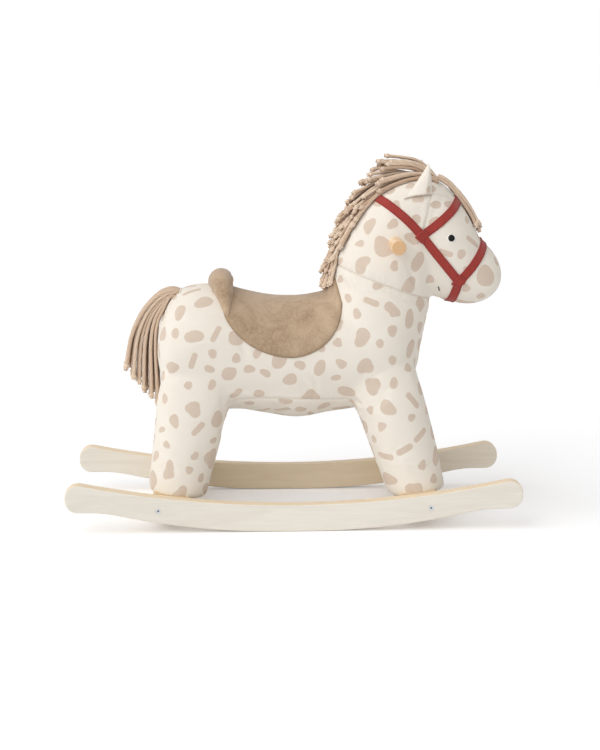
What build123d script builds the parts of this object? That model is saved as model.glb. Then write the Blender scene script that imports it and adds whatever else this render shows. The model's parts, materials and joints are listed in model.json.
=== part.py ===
from build123d import *
from math import asin, cos, degrees, hypot, radians, sin
import os

# Stuffed rocking horse on two plywood rockers. Millimetres, +Z up, the horse faces +X.

# Rockers
OVERALL_WIDTH = 280.0
ROCKER_LENGTH = 740.0
ROCKER_THICKNESS = 20.0
ROCKER_HEIGHT = 44.5
ROCKER_FLAT = 60.0
ROCKER_RADIUS = 1140.0
ROCKER_TOP_RADIUS = 1700.0
PADDLE_LENGTH = 85.0
PADDLE_RADIUS = 200.0
ROCKER_TIP_RADIUS = 21.0
ROCKER_EDGE = 2.0

# Cross rails
RAIL_STANCE = 200.0
RAIL_WIDTH = 60.0
RAIL_HEIGHT = 40.0
RAIL_RISE = 1.0
RAIL_EDGE = 3.0

# Rocker fixings: one bolt with a barrel nut and one wooden dowel at each joint
FIXING_SPACING = 36.0
BOLT_DIAMETER = 6.0
BOLT_LENGTH = 66.0
BOLT_HEAD_DIAMETER = 9.0
BOLT_HEAD_HEIGHT = 3.0
BOLT_SOCKET = 4.0
BOLT_CLEARANCE = 0.3
NUT_DIAMETER = 10.0
NUT_LENGTH = 16.0
NUT_INSET = 34.0
DOWEL_DIAMETER = 8.0
DOWEL_LENGTH = 36.0

# Wooden frame inside the stuffing
BODY_Z = 270.0
SEAT_BOARD_Z = 296.0
SEAT_BOARD_THICKNESS = 18.0
SEAT_BOARD_WIDTH = 140.0
SEAT_BOARD_REAR = 178.0
SEAT_BOARD_FRONT = 166.0
SEAT_BOARD_CORNER = 25.0
POST_LENGTHWISE = 34.0
POST_CROSSWISE = 28.0
FRONT_FOOT_SHIFT = 5.0
REAR_FOOT_SHIFT = -9.0
FRONT_HIP_X = 129.0
REAR_HIP_X = -144.0
FOOT_SPREAD = 144.0
HIP_SPREAD = 112.0
SCREW_DIAMETER = 5.0
SCREW_HEAD_DIAMETER = 10.0
SCREW_HEAD_HEIGHT = 3.0
SCREW_SPACING = 16.0
LEG_SCREW_LENGTH = 62.0
SEAT_SCREW_LENGTH = 40.0

# Neck board, its angle brackets and the handle it carries
NECK_BOARD_THICKNESS = 18.0
NECK_FOOT_REAR = 82.0
NECK_FOOT_FRONT = 178.0
NECK_TENON_LENGTH = 44.0
NECK_HEAD_RADIUS = 36.0
BRACKET_WIDTH = 40.0
BRACKET_LEG = 32.0
BRACKET_THICKNESS = 2.5
BRACKET_SCREW_DIAMETER = 4.0
BRACKET_SCREW_LENGTH = 14.0
BRACKET_SCREW_HEAD = 7.0
BRACKET_SCREW_HEAD_HEIGHT = 2.0
HANDLE_X = 165.0
HANDLE_Z = 457.0
HANDLE_DIAMETER = 24.0
HANDLE_LENGTH = 240.0
HANDLE_EDGE = 3.0
HANDLE_PIN_DIAMETER = 4.0
HANDLE_PIN_LENGTH = 46.0

# Stuffed legs: share of the leg's length, half length along X and half width along Y
LEG_SECTIONS = [
    (0.0, 50.0, 46.0),
    (0.25, 52.0, 47.5),
    (0.5, 56.0, 47.8),
    (0.75, 59.8, 44.5),
    (1.0, 60.0, 30.0),
]
FOOT_EDGE = 12.0
LEG_REACH = 0.93

# Stuffed forms. A section is an oval across the mid plane: its two outline points (x, z measured
# from BODY_Z) and its half width.
BARREL_SECTIONS = [
    (-220.0, -6.0, -220.0, 32.0, 28.0),
    (-216.0, -32.0, -216.0, 50.0, 56.0),
    (-208.0, -55.0, -208.0, 72.0, 76.0),
    (-195.0, -75.0, -195.0, 96.0, 91.0),
    (-165.0, -90.0, -165.0, 113.0, 100.0),
    (-125.0, -93.0, -125.0, 114.0, 103.0),
    (-85.0, -91.0, -85.0, 99.0, 101.0),
    (-40.0, -99.0, -40.0, 91.0, 98.0),
    (10.0, -107.0, 10.0, 91.0, 97.0),
    (60.0, -97.0, 60.0, 98.0, 98.0),
    (110.0, -90.0, 110.0, 100.0, 99.0),
    (160.0, -80.0, 160.0, 90.0, 93.0),
    (192.0, -52.0, 192.0, 66.0, 74.0),
]
CHEST_SECTIONS = [
    (190.0, -60.0, 86.0, -56.0, 72.0),
    (208.0, -20.0, 66.0, -12.0, 92.0),
    (218.5, 35.0, 58.0, 50.0, 95.0),
    (224.5, 70.0, 58.0, 98.0, 89.0),
    (227.0, 92.0, 63.0, 133.0, 79.0),
]
NECK_SECTIONS = [
    (227.0, 92.0, 63.0, 133.0, 79.0),
    (235.0, 118.0, 69.0, 160.0, 77.0),
    (246.0, 154.0, 85.0, 193.0, 71.0),
    (256.0, 194.0, 107.0, 230.0, 64.0),
    (262.0, 232.0, 135.0, 259.0, 56.0),
    (262.0, 259.0, 164.0, 276.0, 45.0),
    (246.0, 279.0, 196.0, 286.0, 24.0),
]
FACE_SECTIONS = [
    (168.0, 160.0, 236.0, 277.0, 46.0),
    (188.0, 138.0, 258.0, 266.5, 57.0),
    (208.0, 114.0, 280.5, 240.0, 61.0),
    (231.0, 97.0, 298.0, 210.0, 60.0),
    (255.0, 88.5, 310.0, 187.0, 57.0),
    (283.0, 82.0, 330.0, 168.0, 54.0),
    (308.0, 85.0, 342.0, 147.0, 47.0),
    (323.5, 93.0, 345.0, 128.0, 34.0),
    (335.0, 102.0, 343.5, 115.0, 13.0),
]

# Ears: front and rear outline points, offset from the mid plane and half thickness
EAR_SECTIONS = [
    (226.0, 248.0, 182.0, 242.0, 34.0, 11.0),
    (226.5, 264.0, 180.0, 258.0, 41.0, 11.0),
    (226.0, 280.0, 193.0, 275.0, 45.0, 8.0),
    (224.0, 297.0, 207.0, 294.0, 46.0, 5.0),
    (220.5, 315.0, 217.0, 314.0, 46.5, 2.0),
]
EYE_X = 256.0
EYE_Z = 465.5
EYE_DIAMETER = 12.0
EYE_HEIGHT = 3.0

# Bridle
STRAP_WIDTH = 14.0
STRAP_THICKNESS = 2.0
BROW_JUNCTION = (208.0, 469.0)
MUZZLE_JUNCTION = (270.0, 394.0)
CREST_END = (122.0, 537.0)
BROW_BEND = (240.0, 496.0)
BROW_END = (290.0, 539.0)
NOSE_BEND = (295.0, 424.0)
NOSE_END = (325.0, 470.0)
CHIN_END = (258.0, 340.0)

# Saddle
SADDLE_THICKNESS = 5.0
SADDLE_REAR = (-101.0, 343.0)
SADDLE_REAR_BEND = (-60.0, 301.5)
SADDLE_LOW = (-2.0, 277.5)
SADDLE_FRONT_BEND = (53.0, 301.0)
SADDLE_FRONT = (80.0, 360.0)
SADDLE_PEAK_BEND = (77.0, 381.0)
SADDLE_PEAK = (67.0, 403.0)
SADDLE_SKIRT_X = -122.0

# Cantle roll: angle from the top of the back, roll radius
CANTLE_SECTIONS = [(0.0, 21.0), (16.0, 18.8), (32.0, 13.0), (45.0, 7.0), (53.0, 2.5)]
CANTLE_X = -118.0
CANTLE_END_X = -106.0
CANTLE_RISE = 5.5
CANTLE_CENTRE_Z = 280.0
CANTLE_BACK_RADIUS = 102.0

# Mane ridge and forelock: outline points (x, z measured from BODY_Z) and half width
MANE_SECTIONS = [
    (229.0, 286.0, 236.0, 300.0, 13.0),
    (203.0, 284.0, 206.0, 321.0, 25.0),
    (174.0, 274.0, 165.0, 325.0, 32.0),
    (144.0, 258.0, 122.0, 298.0, 34.0),
    (120.0, 234.0, 93.0, 259.0, 34.0),
    (98.0, 203.0, 68.0, 219.0, 32.0),
    (82.0, 172.0, 57.0, 178.0, 28.0),
    (72.0, 142.0, 50.0, 141.0, 22.0),
    (64.0, 122.0, 44.0, 116.0, 12.0),
]
FORELOCK_SECTIONS = [
    (226.0, 283.0, 232.0, 300.0, 12.0),
    (240.0, 277.0, 247.0, 296.0, 14.0),
    (255.0, 265.0, 263.0, 284.0, 16.0),
    (269.0, 247.0, 281.0, 261.0, 16.0),
    (284.0, 224.0, 296.0, 234.0, 13.0),
    (295.0, 208.0, 304.0, 212.0, 7.0),
]

# Tail: strands hang from a rolled tab sewn into the rump seam
TAIL_TAB_X = -191.5
TAIL_TAB_Z = 375.5
TAIL_TAB_DIAMETER = 8.0
TAIL_TAB_LENGTH = 44.0
TAIL_TAB_WEB = 3.0
TAIL_TAB_REACH = 16.0
TAIL_TAB_ANGLE = -35.0
TAIL_GAP = 0.8
STRAND_DIAMETER = 7.0
STRAND_COLUMNS = 5
STRAND_PITCH = 8.5
STRAND_FAN = 3.0
# Strand layers: root angle about the tab, bend (x, z) and end (x, z)
STRAND_LAYERS = [
    (188.0, -256.0, 322.0, -274.0, 247.0),
    (200.0, -248.0, 315.0, -266.0, 226.0),
    (212.0, -240.0, 309.0, -250.0, 208.0),
    (222.0, -233.0, 304.0, -232.0, 186.0),
]

SIDES = {"left": 1, "right": -1}
ENDS = {"front": 1, "rear": -1}
half_length = ROCKER_LENGTH / 2
rail_length = OVERALL_WIDTH - 2 * ROCKER_THICKNESS
fixing_depth = ROCKER_HEIGHT / 2
rail_angle = asin(RAIL_STANCE / ROCKER_TOP_RADIUS)
bolt_reach = BOLT_LENGTH - ROCKER_THICKNESS + BOLT_HEAD_HEIGHT
board_top = SEAT_BOARD_Z + SEAT_BOARD_THICKNESS
foot_shift = {"front": FRONT_FOOT_SHIFT, "rear": REAR_FOOT_SHIFT}
hip_x = {"front": FRONT_HIP_X, "rear": REAR_HIP_X}


def rail_plane(end):
    """Plane on the rocker's top edge at a rail, its x axis pointing outward along the rocker."""
    sign = ENDS[end]
    top = ROCKER_HEIGHT + ROCKER_TOP_RADIUS * (1 - cos(rail_angle))
    return Plane(
        origin=(sign * RAIL_STANCE, 0, top),
        x_dir=(sign * cos(rail_angle), 0, sin(rail_angle)),
        z_dir=(-sign * sin(rail_angle), 0, cos(rail_angle)),
    )


def rail_point(end, along, side, height):
    """World point at a place on a rail: outward offset, world y and height above the rocker edge."""
    spot = rail_plane(end).from_local_coords(Vector(along, 0, height))
    return Vector(spot.X, side, spot.Z)


def crosswise(point, side):
    """Plane at a point on a joint, facing outward through the rocker of that side."""
    return Plane(origin=point, x_dir=(0, 0, 1), z_dir=(0, SIDES[side], 0))


def oval(half_width, half_height):
    """Closed oval of four pairs of tangent arcs."""
    step = (half_width - half_height) / (sin(radians(45)) + cos(radians(45)) - 1)
    flank = half_width - step * cos(radians(45))
    crown = half_height + step * sin(radians(45))
    with BuildSketch() as outline:
        with BuildLine():
            CenterArc((half_width - flank, 0), flank, 0, 45)
            CenterArc((0, half_height - crown), crown, 45, 90)
            CenterArc((flank - half_width, 0), flank, 135, 90)
            CenterArc((0, crown - half_height), crown, 225, 90)
            CenterArc((half_width - flank, 0), flank, 315, 45)
        make_face()
    return outline.sketch


def section_plane(low_x, low_z, high_x, high_z, middle_y=0):
    """Plane across the mid plane through two outline points, its y axis from the first to the second."""
    length = hypot(high_x - low_x, high_z - low_z)
    rise_x = (high_x - low_x) / length
    rise_z = (high_z - low_z) / length
    middle = ((low_x + high_x) / 2, middle_y, (low_z + high_z) / 2)
    return Plane(origin=middle, x_dir=(0, 1, 0), z_dir=(rise_z, 0, -rise_x))


def stuffed(sections, grow=0):
    """Solid through a list of sections, its skin moved out by an allowance."""
    last = len(sections) - 1
    with BuildPart() as form:
        for index, (low_x, low_z, high_x, high_z, half_width) in enumerate(sections):
            place = section_plane(low_x, BODY_Z + low_z, high_x, BODY_Z + high_z)
            end_shift = grow * ((index == last) - (index == 0))
            half_height = hypot(high_x - low_x, high_z - low_z) / 2
            with BuildSketch(place.offset(end_shift)):
                add(oval(half_width + grow, half_height + grow))
        loft()
    return form.part


# Rockers
sole_angle = asin((half_length - PADDLE_LENGTH - ROCKER_FLAT / 2) / ROCKER_RADIUS)
crown_angle = asin(half_length / ROCKER_TOP_RADIUS)
parts = []
for side, sign in SIDES.items():
    with BuildPart() as rocker:
        with BuildSketch(Plane.XZ.offset(-sign * OVERALL_WIDTH / 2)) as rocker_outline:
            with BuildLine():
                rest = Line((0, 0), (ROCKER_FLAT / 2, 0))
                sole = JernArc(rest @ 1, rest % 1, ROCKER_RADIUS, degrees(sole_angle))
                paddle = JernArc(sole @ 1, sole % 1, PADDLE_RADIUS, -degrees(sole_angle))
                crown_centre = (0, ROCKER_HEIGHT + ROCKER_TOP_RADIUS)
                crown = CenterArc(crown_centre, ROCKER_TOP_RADIUS, 270, degrees(crown_angle))
                heel = Line(paddle @ 1, (half_length, (paddle @ 1).Y))
                Line(heel @ 1, crown @ 1)
                mirror(about=Plane.YZ)
            make_face()
            tips = rocker_outline.vertices().group_by(Axis.X)
            fillet(tips[0] + tips[-1], ROCKER_TIP_RADIUS)
        extrude(amount=sign * ROCKER_THICKNESS)
        fillet(rocker.faces().filter_by(Axis.Y).edges(), ROCKER_EDGE)
        for end in ENDS:
            bolt_spot = rail_point(end, FIXING_SPACING / 2, sign * OVERALL_WIDTH / 2, -fixing_depth)
            with Locations(crosswise(bolt_spot, side)):
                CounterBoreHole(
                    BOLT_DIAMETER / 2 + BOLT_CLEARANCE,
                    BOLT_HEAD_DIAMETER / 2 + BOLT_CLEARANCE,
                    BOLT_HEAD_HEIGHT,
                    depth=ROCKER_THICKNESS,
                )
            dowel_spot = rail_point(end, -FIXING_SPACING / 2, sign * rail_length / 2, -fixing_depth)
            with BuildSketch(crosswise(dowel_spot, side)):
                Circle(DOWEL_DIAMETER / 2)
            extrude(amount=DOWEL_LENGTH / 3, mode=Mode.SUBTRACT)
    rocker.part.label = f"rocker_{side}"
    parts.append(rocker.part)

# Cross rails, drilled for the bolts, barrel nuts, dowels and leg screws
screw_spots = {}
for end in ENDS:
    screw_spots[end] = [
        (foot_shift[end] + step * SCREW_SPACING / 2, across * FOOT_SPREAD / 2)
        for across in (1, -1)
        for step in (1, -1)
    ]
for end in ENDS:
    with BuildPart() as rail:
        underside = rail_plane(end).offset(RAIL_RISE - RAIL_HEIGHT)
        with BuildSketch(underside):
            Rectangle(RAIL_WIDTH, rail_length)
        extrude(amount=RAIL_HEIGHT)
        fillet(rail.edges().filter_by(Axis.Y), RAIL_EDGE)
        for side, sign in SIDES.items():
            bolt_spot = rail_point(end, FIXING_SPACING / 2, sign * rail_length / 2, -fixing_depth)
            with Locations(crosswise(bolt_spot, side)):
                Hole(BOLT_DIAMETER / 2 + BOLT_CLEARANCE, depth=bolt_reach)
            dowel_spot = rail_point(end, -FIXING_SPACING / 2, sign * rail_length / 2, -fixing_depth)
            with Locations(crosswise(dowel_spot, side)):
                Hole(DOWEL_DIAMETER / 2, depth=DOWEL_LENGTH * 2 / 3)
        nut_depth = RAIL_HEIGHT - RAIL_RISE - fixing_depth + NUT_LENGTH / 2
        with BuildSketch(underside):
            with Locations(*[(FIXING_SPACING / 2, s * (rail_length / 2 - NUT_INSET)) for s in (1, -1)]):
                Circle(NUT_DIAMETER / 2)
        extrude(amount=nut_depth, mode=Mode.SUBTRACT)
        with BuildSketch(underside):
            with Locations(*screw_spots[end]):
                Circle(SCREW_HEAD_DIAMETER / 2 + BOLT_CLEARANCE)
        extrude(amount=SCREW_HEAD_HEIGHT, mode=Mode.SUBTRACT)
        with BuildSketch(underside):
            with Locations(*screw_spots[end]):
                Circle(SCREW_DIAMETER / 2 + BOLT_CLEARANCE)
        extrude(amount=RAIL_HEIGHT, mode=Mode.SUBTRACT)
    rail.part.label = f"{end}_cross_rail"
    parts.append(rail.part)

# Bolts with hexagon sockets, barrel nuts and locating dowels
with BuildPart() as rocker_bolts:
    for end in ENDS:
        for side, sign in SIDES.items():
            spot = rail_point(end, FIXING_SPACING / 2, sign * OVERALL_WIDTH / 2, -fixing_depth)
            face = crosswise(spot, side)
            with BuildSketch(face):
                Circle(BOLT_DIAMETER / 2)
            extrude(amount=-BOLT_LENGTH)
            with BuildSketch(face):
                Circle(BOLT_HEAD_DIAMETER / 2)
            extrude(amount=-BOLT_HEAD_HEIGHT)
            with BuildSketch(face):
                RegularPolygon(BOLT_SOCKET / 2, 6, major_radius=False)
            extrude(amount=-BOLT_HEAD_HEIGHT * 0.9, mode=Mode.SUBTRACT)
rocker_bolts.part.label = "rocker_bolts"
parts.append(rocker_bolts.part)

with BuildPart() as barrel_nuts:
    for end in ENDS:
        underside = rail_plane(end).offset(-fixing_depth - NUT_LENGTH / 2)
        with BuildSketch(underside):
            with Locations(*[(FIXING_SPACING / 2, s * (rail_length / 2 - NUT_INSET)) for s in (1, -1)]):
                Circle(NUT_DIAMETER / 2)
        extrude(amount=NUT_LENGTH)
        for side, sign in SIDES.items():
            spot = rail_point(end, FIXING_SPACING / 2, sign * rail_length / 2, -fixing_depth)
            with BuildSketch(crosswise(spot, side)):
                Circle(BOLT_DIAMETER / 2)
            extrude(amount=-bolt_reach, mode=Mode.SUBTRACT)
barrel_nuts.part.label = "barrel_nuts"
parts.append(barrel_nuts.part)

with BuildPart() as locating_dowels:
    for end in ENDS:
        for side, sign in SIDES.items():
            spot = rail_point(end, -FIXING_SPACING / 2, sign * rail_length / 2, -fixing_depth)
            with BuildSketch(crosswise(spot, side).offset(DOWEL_LENGTH / 3)):
                Circle(DOWEL_DIAMETER / 2)
            extrude(amount=-DOWEL_LENGTH)
locating_dowels.part.label = "locating_dowels"
parts.append(locating_dowels.part)

# Leg posts, cut square to the rail below and to the seat board above
with BuildPart() as leg_screws:
    for end in ENDS:
        underside = rail_plane(end).offset(RAIL_RISE - RAIL_HEIGHT)
        with BuildSketch(underside):
            with Locations(*screw_spots[end]):
                Circle(SCREW_DIAMETER / 2)
        extrude(amount=LEG_SCREW_LENGTH)
        with BuildSketch(underside):
            with Locations(*screw_spots[end]):
                Circle(SCREW_HEAD_DIAMETER / 2)
        extrude(amount=SCREW_HEAD_HEIGHT)
leg_screws.part.label = "leg_screws"
parts.append(leg_screws.part)

with BuildPart() as seat_board_screws:
    for end in ENDS:
        spots = [
            (hip_x[end] + step * SCREW_SPACING / 2, across * HIP_SPREAD / 2)
            for across in (1, -1)
            for step in (1, -1)
        ]
        with BuildSketch(Plane.XY.offset(board_top)):
            with Locations(*spots):
                Circle(SCREW_DIAMETER / 2)
        extrude(amount=-SEAT_SCREW_LENGTH)
        with BuildSketch(Plane.XY.offset(board_top)):
            with Locations(*spots):
                Circle(SCREW_HEAD_DIAMETER / 2)
        extrude(amount=-SCREW_HEAD_HEIGHT)
seat_board_screws.part.label = "seat_board_screws"
parts.append(seat_board_screws.part)

frame_pieces = []
leg_axes = {}
for end in ENDS:
    for side, sign in SIDES.items():
        foot = rail_point(end, foot_shift[end], sign * FOOT_SPREAD / 2, RAIL_RISE)
        hip = Vector(hip_x[end], sign * HIP_SPREAD / 2, SEAT_BOARD_Z)
        leg_axes[end, side] = (foot, hip)
        with BuildPart() as post:
            lean = Plane(origin=foot, x_dir=(1, 0, 0), z_dir=hip - foot)
            with BuildSketch(lean.offset(-POST_LENGTHWISE)):
                Rectangle(POST_LENGTHWISE, POST_CROSSWISE)
            extrude(amount=(hip - foot).length + 2 * POST_LENGTHWISE)
            split(bisect_by=rail_plane(end).offset(RAIL_RISE), keep=Keep.TOP)
            split(bisect_by=Plane.XY.offset(SEAT_BOARD_Z), keep=Keep.BOTTOM)
        frame_pieces.append(post.part)
        with post:
            add(leg_screws.part, mode=Mode.SUBTRACT)
            add(seat_board_screws.part, mode=Mode.SUBTRACT)
        post.part.label = f"leg_post_{end}_{side}"
        parts.append(post.part)

# Neck board: a plywood blade tenoned into the seat board, bored for the handle
with BuildPart() as neck_board:
    with BuildSketch(Plane.XZ.offset(-NECK_BOARD_THICKNESS / 2)):
        with BuildLine():
            Polyline(
                (NECK_FOOT_REAR, board_top),
                (NECK_FOOT_FRONT, board_top),
                (HANDLE_X + NECK_HEAD_RADIUS, HANDLE_Z),
                (HANDLE_X - NECK_HEAD_RADIUS, HANDLE_Z),
                close=True,
            )
        make_face()
        with Locations((HANDLE_X, HANDLE_Z)):
            Circle(NECK_HEAD_RADIUS)
        with Locations(((NECK_FOOT_REAR + NECK_FOOT_FRONT) / 2, board_top - SEAT_BOARD_THICKNESS / 2)):
            Rectangle(NECK_TENON_LENGTH, SEAT_BOARD_THICKNESS)
    extrude(amount=NECK_BOARD_THICKNESS)
frame_pieces.append(neck_board.part)

with BuildPart() as handle:
    with BuildSketch(Plane.XZ.offset(-HANDLE_LENGTH / 2)):
        with Locations((HANDLE_X, HANDLE_Z)):
            Circle(HANDLE_DIAMETER / 2)
    extrude(amount=HANDLE_LENGTH)
    fillet(handle.edges().filter_by(GeomType.CIRCLE), HANDLE_EDGE)

with BuildPart() as handle_pin:
    with BuildSketch(Plane.XY.offset(HANDLE_Z - HANDLE_PIN_LENGTH / 2)):
        with Locations((HANDLE_X, 0)):
            Circle(HANDLE_PIN_DIAMETER / 2)
    extrude(amount=HANDLE_PIN_LENGTH)
handle_pin.part.label = "handle_pin"

with BuildPart() as neck_brackets:
    for sign in SIDES.values():
        heel_y = sign * NECK_BOARD_THICKNESS / 2
        middle_x = (NECK_FOOT_REAR + NECK_FOOT_FRONT) / 2
        with BuildSketch(Plane.YZ.offset(middle_x - BRACKET_WIDTH / 2)):
            with BuildLine():
                Polyline(
                    (heel_y, board_top),
                    (heel_y + sign * BRACKET_LEG, board_top),
                    (heel_y + sign * BRACKET_LEG, board_top + BRACKET_THICKNESS),
                    (heel_y + sign * BRACKET_THICKNESS, board_top + BRACKET_THICKNESS),
                    (heel_y + sign * BRACKET_THICKNESS, board_top + BRACKET_LEG),
                    (heel_y, board_top + BRACKET_LEG),
                    close=True,
                )
            make_face()
        extrude(amount=BRACKET_WIDTH)

screw_reach = BRACKET_SCREW_HEAD_HEIGHT + BRACKET_THICKNESS
with BuildPart() as bracket_screws:
    for sign in SIDES.values():
        middle_x = (NECK_FOOT_REAR + NECK_FOOT_FRONT) / 2
        for step, reach in ((1, 0.6), (-1, 0.6)):
            spot_x = middle_x + step * BRACKET_WIDTH / 4
            down = Plane(
                origin=(spot_x, sign * (NECK_BOARD_THICKNESS / 2 + BRACKET_LEG * reach), board_top),
                z_dir=(0, 0, -1),
            )
            across = Plane(
                origin=(spot_x, sign * NECK_BOARD_THICKNESS / 2, board_top + BRACKET_LEG * reach),
                z_dir=(0, -sign, 0),
            )
            for seat, bite in ((down, BRACKET_SCREW_LENGTH), (across, NECK_BOARD_THICKNESS * 0.45)):
                with BuildSketch(seat.offset(-BRACKET_THICKNESS)):
                    Circle(BRACKET_SCREW_DIAMETER / 2)
                extrude(amount=bite + BRACKET_THICKNESS)
                with BuildSketch(seat.offset(-screw_reach)):
                    Circle(BRACKET_SCREW_HEAD / 2)
                extrude(amount=BRACKET_SCREW_HEAD_HEIGHT)
bracket_screws.part.label = "bracket_screws"

with neck_brackets:
    add(bracket_screws.part, mode=Mode.SUBTRACT)
neck_brackets.part.label = "neck_brackets"
with handle:
    add(handle_pin.part, mode=Mode.SUBTRACT)
handle.part.label = "handle"
with neck_board:
    add(handle.part, mode=Mode.SUBTRACT)
    add(handle_pin.part, mode=Mode.SUBTRACT)
    add(bracket_screws.part, mode=Mode.SUBTRACT)
neck_board.part.label = "neck_board"

# Seat board
with BuildPart() as seat_board:
    with BuildSketch(Plane.XY.offset(SEAT_BOARD_Z)):
        with Locations(((SEAT_BOARD_FRONT - SEAT_BOARD_REAR) / 2, 0)):
            RectangleRounded(SEAT_BOARD_FRONT + SEAT_BOARD_REAR, SEAT_BOARD_WIDTH, SEAT_BOARD_CORNER)
    extrude(amount=SEAT_BOARD_THICKNESS)
frame_pieces.append(seat_board.part)
with seat_board:
    add(neck_board.part, mode=Mode.SUBTRACT)
    add(seat_board_screws.part, mode=Mode.SUBTRACT)
    add(bracket_screws.part, mode=Mode.SUBTRACT)
seat_board.part.label = "seat_board"
parts.extend([seat_board.part, neck_board.part, neck_brackets.part, bracket_screws.part])
parts.extend([handle.part, handle_pin.part])

# Space that the frame takes up inside the stuffing
with BuildPart() as frame_form:
    for piece in frame_pieces:
        add(piece)
    for piece in (neck_brackets, bracket_screws, handle, handle_pin):
        add(piece.part)

# Stuffed body: the barrel and the raised chest that ends at the neck seam
with BuildPart() as body_form:
    add(stuffed(BARREL_SECTIONS))
    add(stuffed(CHEST_SECTIONS))
with BuildPart() as torso:
    add(body_form.part)
    add(frame_form.part, mode=Mode.SUBTRACT)
torso.part.label = "torso"
parts.append(torso.part)

# Stuffed head and neck, one sewn piece on the neck seam, bored for the handle
with BuildPart() as head_form:
    add(stuffed(NECK_SECTIONS))
    add(stuffed(FACE_SECTIONS))
    add(body_form.part, mode=Mode.SUBTRACT)
with BuildPart() as head:
    add(head_form.part)
    add(frame_form.part, mode=Mode.SUBTRACT)
head.part.label = "head"
parts.append(head.part)

# Stuffed legs, flat on the rails and let into the body
for end in ENDS:
    for side, sign in SIDES.items():
        foot, hip = leg_axes[end, side]
        rail_normal = rail_plane(end).z_dir
        with BuildPart() as leg:
            for share, half_long, half_wide in LEG_SECTIONS:
                middle = foot + (hip - foot) * (share * LEG_REACH)
                upright = rail_normal * (1 - share) + Vector(0, 0, share)
                place = Plane(origin=middle, x_dir=(0, 1, 0), z_dir=upright)
                with BuildSketch(place):
                    add(oval(half_wide, half_long))
            loft()
            sole = leg.faces().sort_by(Axis.Z)[0]
            fillet(sole.edges(), FOOT_EDGE)
            add(body_form.part, mode=Mode.SUBTRACT)
            add(frame_form.part, mode=Mode.SUBTRACT)
        leg.part.label = f"leg_{end}_{side}"
        parts.append(leg.part)

# Bridle: straps lying on the head, each cut as a blade seen from the side
with BuildPart() as strap_form:
    add(stuffed(NECK_SECTIONS, STRAP_THICKNESS))
    add(stuffed(FACE_SECTIONS, STRAP_THICKNESS))


def strap_blade(*points):
    """Blade of strap width right across the head, along a line or an arc seen from the side."""
    with BuildPart() as blade:
        with BuildSketch(Plane.XZ):
            with BuildLine():
                if len(points) == 2:
                    Line(*points)
                else:
                    ThreePointArc(*points)
            trace(line_width=STRAP_WIDTH)
        extrude(amount=OVERALL_WIDTH / 2, both=True)
    return blade.part


cheek_blade = strap_blade(CREST_END, BROW_JUNCTION, MUZZLE_JUNCTION)
nose_blade = strap_blade(MUZZLE_JUNCTION, NOSE_BEND, NOSE_END)
brow_blade = strap_blade(BROW_JUNCTION, BROW_BEND, BROW_END)
chin_blade = strap_blade(MUZZLE_JUNCTION, CHIN_END)

with BuildPart() as cheek_strap:
    add(cheek_blade)
    add(strap_form.part, mode=Mode.INTERSECT)
    add(head_form.part, mode=Mode.SUBTRACT)
cheek_strap.part.label = "cheek_strap"

with BuildPart() as browband:
    add(brow_blade)
    add(cheek_blade, mode=Mode.SUBTRACT)
    add(strap_form.part, mode=Mode.INTERSECT)
    add(head_form.part, mode=Mode.SUBTRACT)
browband.part.label = "browband"

with BuildPart() as noseband:
    add(nose_blade)
    add(cheek_blade, mode=Mode.SUBTRACT)
    add(strap_form.part, mode=Mode.INTERSECT)
    add(head_form.part, mode=Mode.SUBTRACT)
noseband.part.label = "noseband"

with BuildPart() as chin_strap:
    add(chin_blade)
    add(cheek_blade, mode=Mode.SUBTRACT)
    add(nose_blade, mode=Mode.SUBTRACT)
    add(strap_form.part, mode=Mode.INTERSECT)
    add(head_form.part, mode=Mode.SUBTRACT)
    add(body_form.part, mode=Mode.SUBTRACT)
chin_strap.part.label = "chin_strap"
parts.extend([cheek_strap.part, browband.part, noseband.part, chin_strap.part])

# Eyes
with BuildPart() as eyes:
    with BuildSketch(Plane.XZ):
        with Locations((EYE_X, EYE_Z)):
            Circle(EYE_DIAMETER / 2)
    extrude(amount=OVERALL_WIDTH / 2, both=True)
    add(stuffed(FACE_SECTIONS, EYE_HEIGHT), mode=Mode.INTERSECT)
    add(head_form.part, mode=Mode.SUBTRACT)
eyes.part.label = "eyes"
parts.append(eyes.part)

# Ears
ears = []
for side, sign in SIDES.items():
    with BuildPart() as ear:
        for front_x, front_z, rear_x, rear_z, offset_y, half_thick in EAR_SECTIONS:
            place = section_plane(front_x, BODY_Z + front_z, rear_x, BODY_Z + rear_z, sign * offset_y)
            with BuildSketch(place):
                add(oval(half_thick, hypot(front_x - rear_x, front_z - rear_z) / 2))
        loft()
        add(head_form.part, mode=Mode.SUBTRACT)
    ear.part.label = f"ear_{side}"
    ears.append(ear.part)
parts.extend(ears)

# Saddle seat: a suede cover lying on the back, with rounded flaps
with BuildPart() as saddle_form:
    add(stuffed(BARREL_SECTIONS, SADDLE_THICKNESS))
    add(stuffed(CHEST_SECTIONS, SADDLE_THICKNESS))
with BuildPart() as saddle_seat:
    with BuildSketch(Plane.XZ):
        with BuildLine():
            ThreePointArc(SADDLE_REAR, SADDLE_REAR_BEND, SADDLE_LOW)
            ThreePointArc(SADDLE_LOW, SADDLE_FRONT_BEND, SADDLE_FRONT)
            ThreePointArc(SADDLE_FRONT, SADDLE_PEAK_BEND, SADDLE_PEAK)
            Polyline(SADDLE_PEAK, (SADDLE_PEAK[0], HANDLE_Z), (SADDLE_SKIRT_X, HANDLE_Z), SADDLE_REAR)
        make_face()
    extrude(amount=OVERALL_WIDTH / 2, both=True)
    add(saddle_form.part, mode=Mode.INTERSECT)
    add(body_form.part, mode=Mode.SUBTRACT)
    add(head_form.part, mode=Mode.SUBTRACT)

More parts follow.
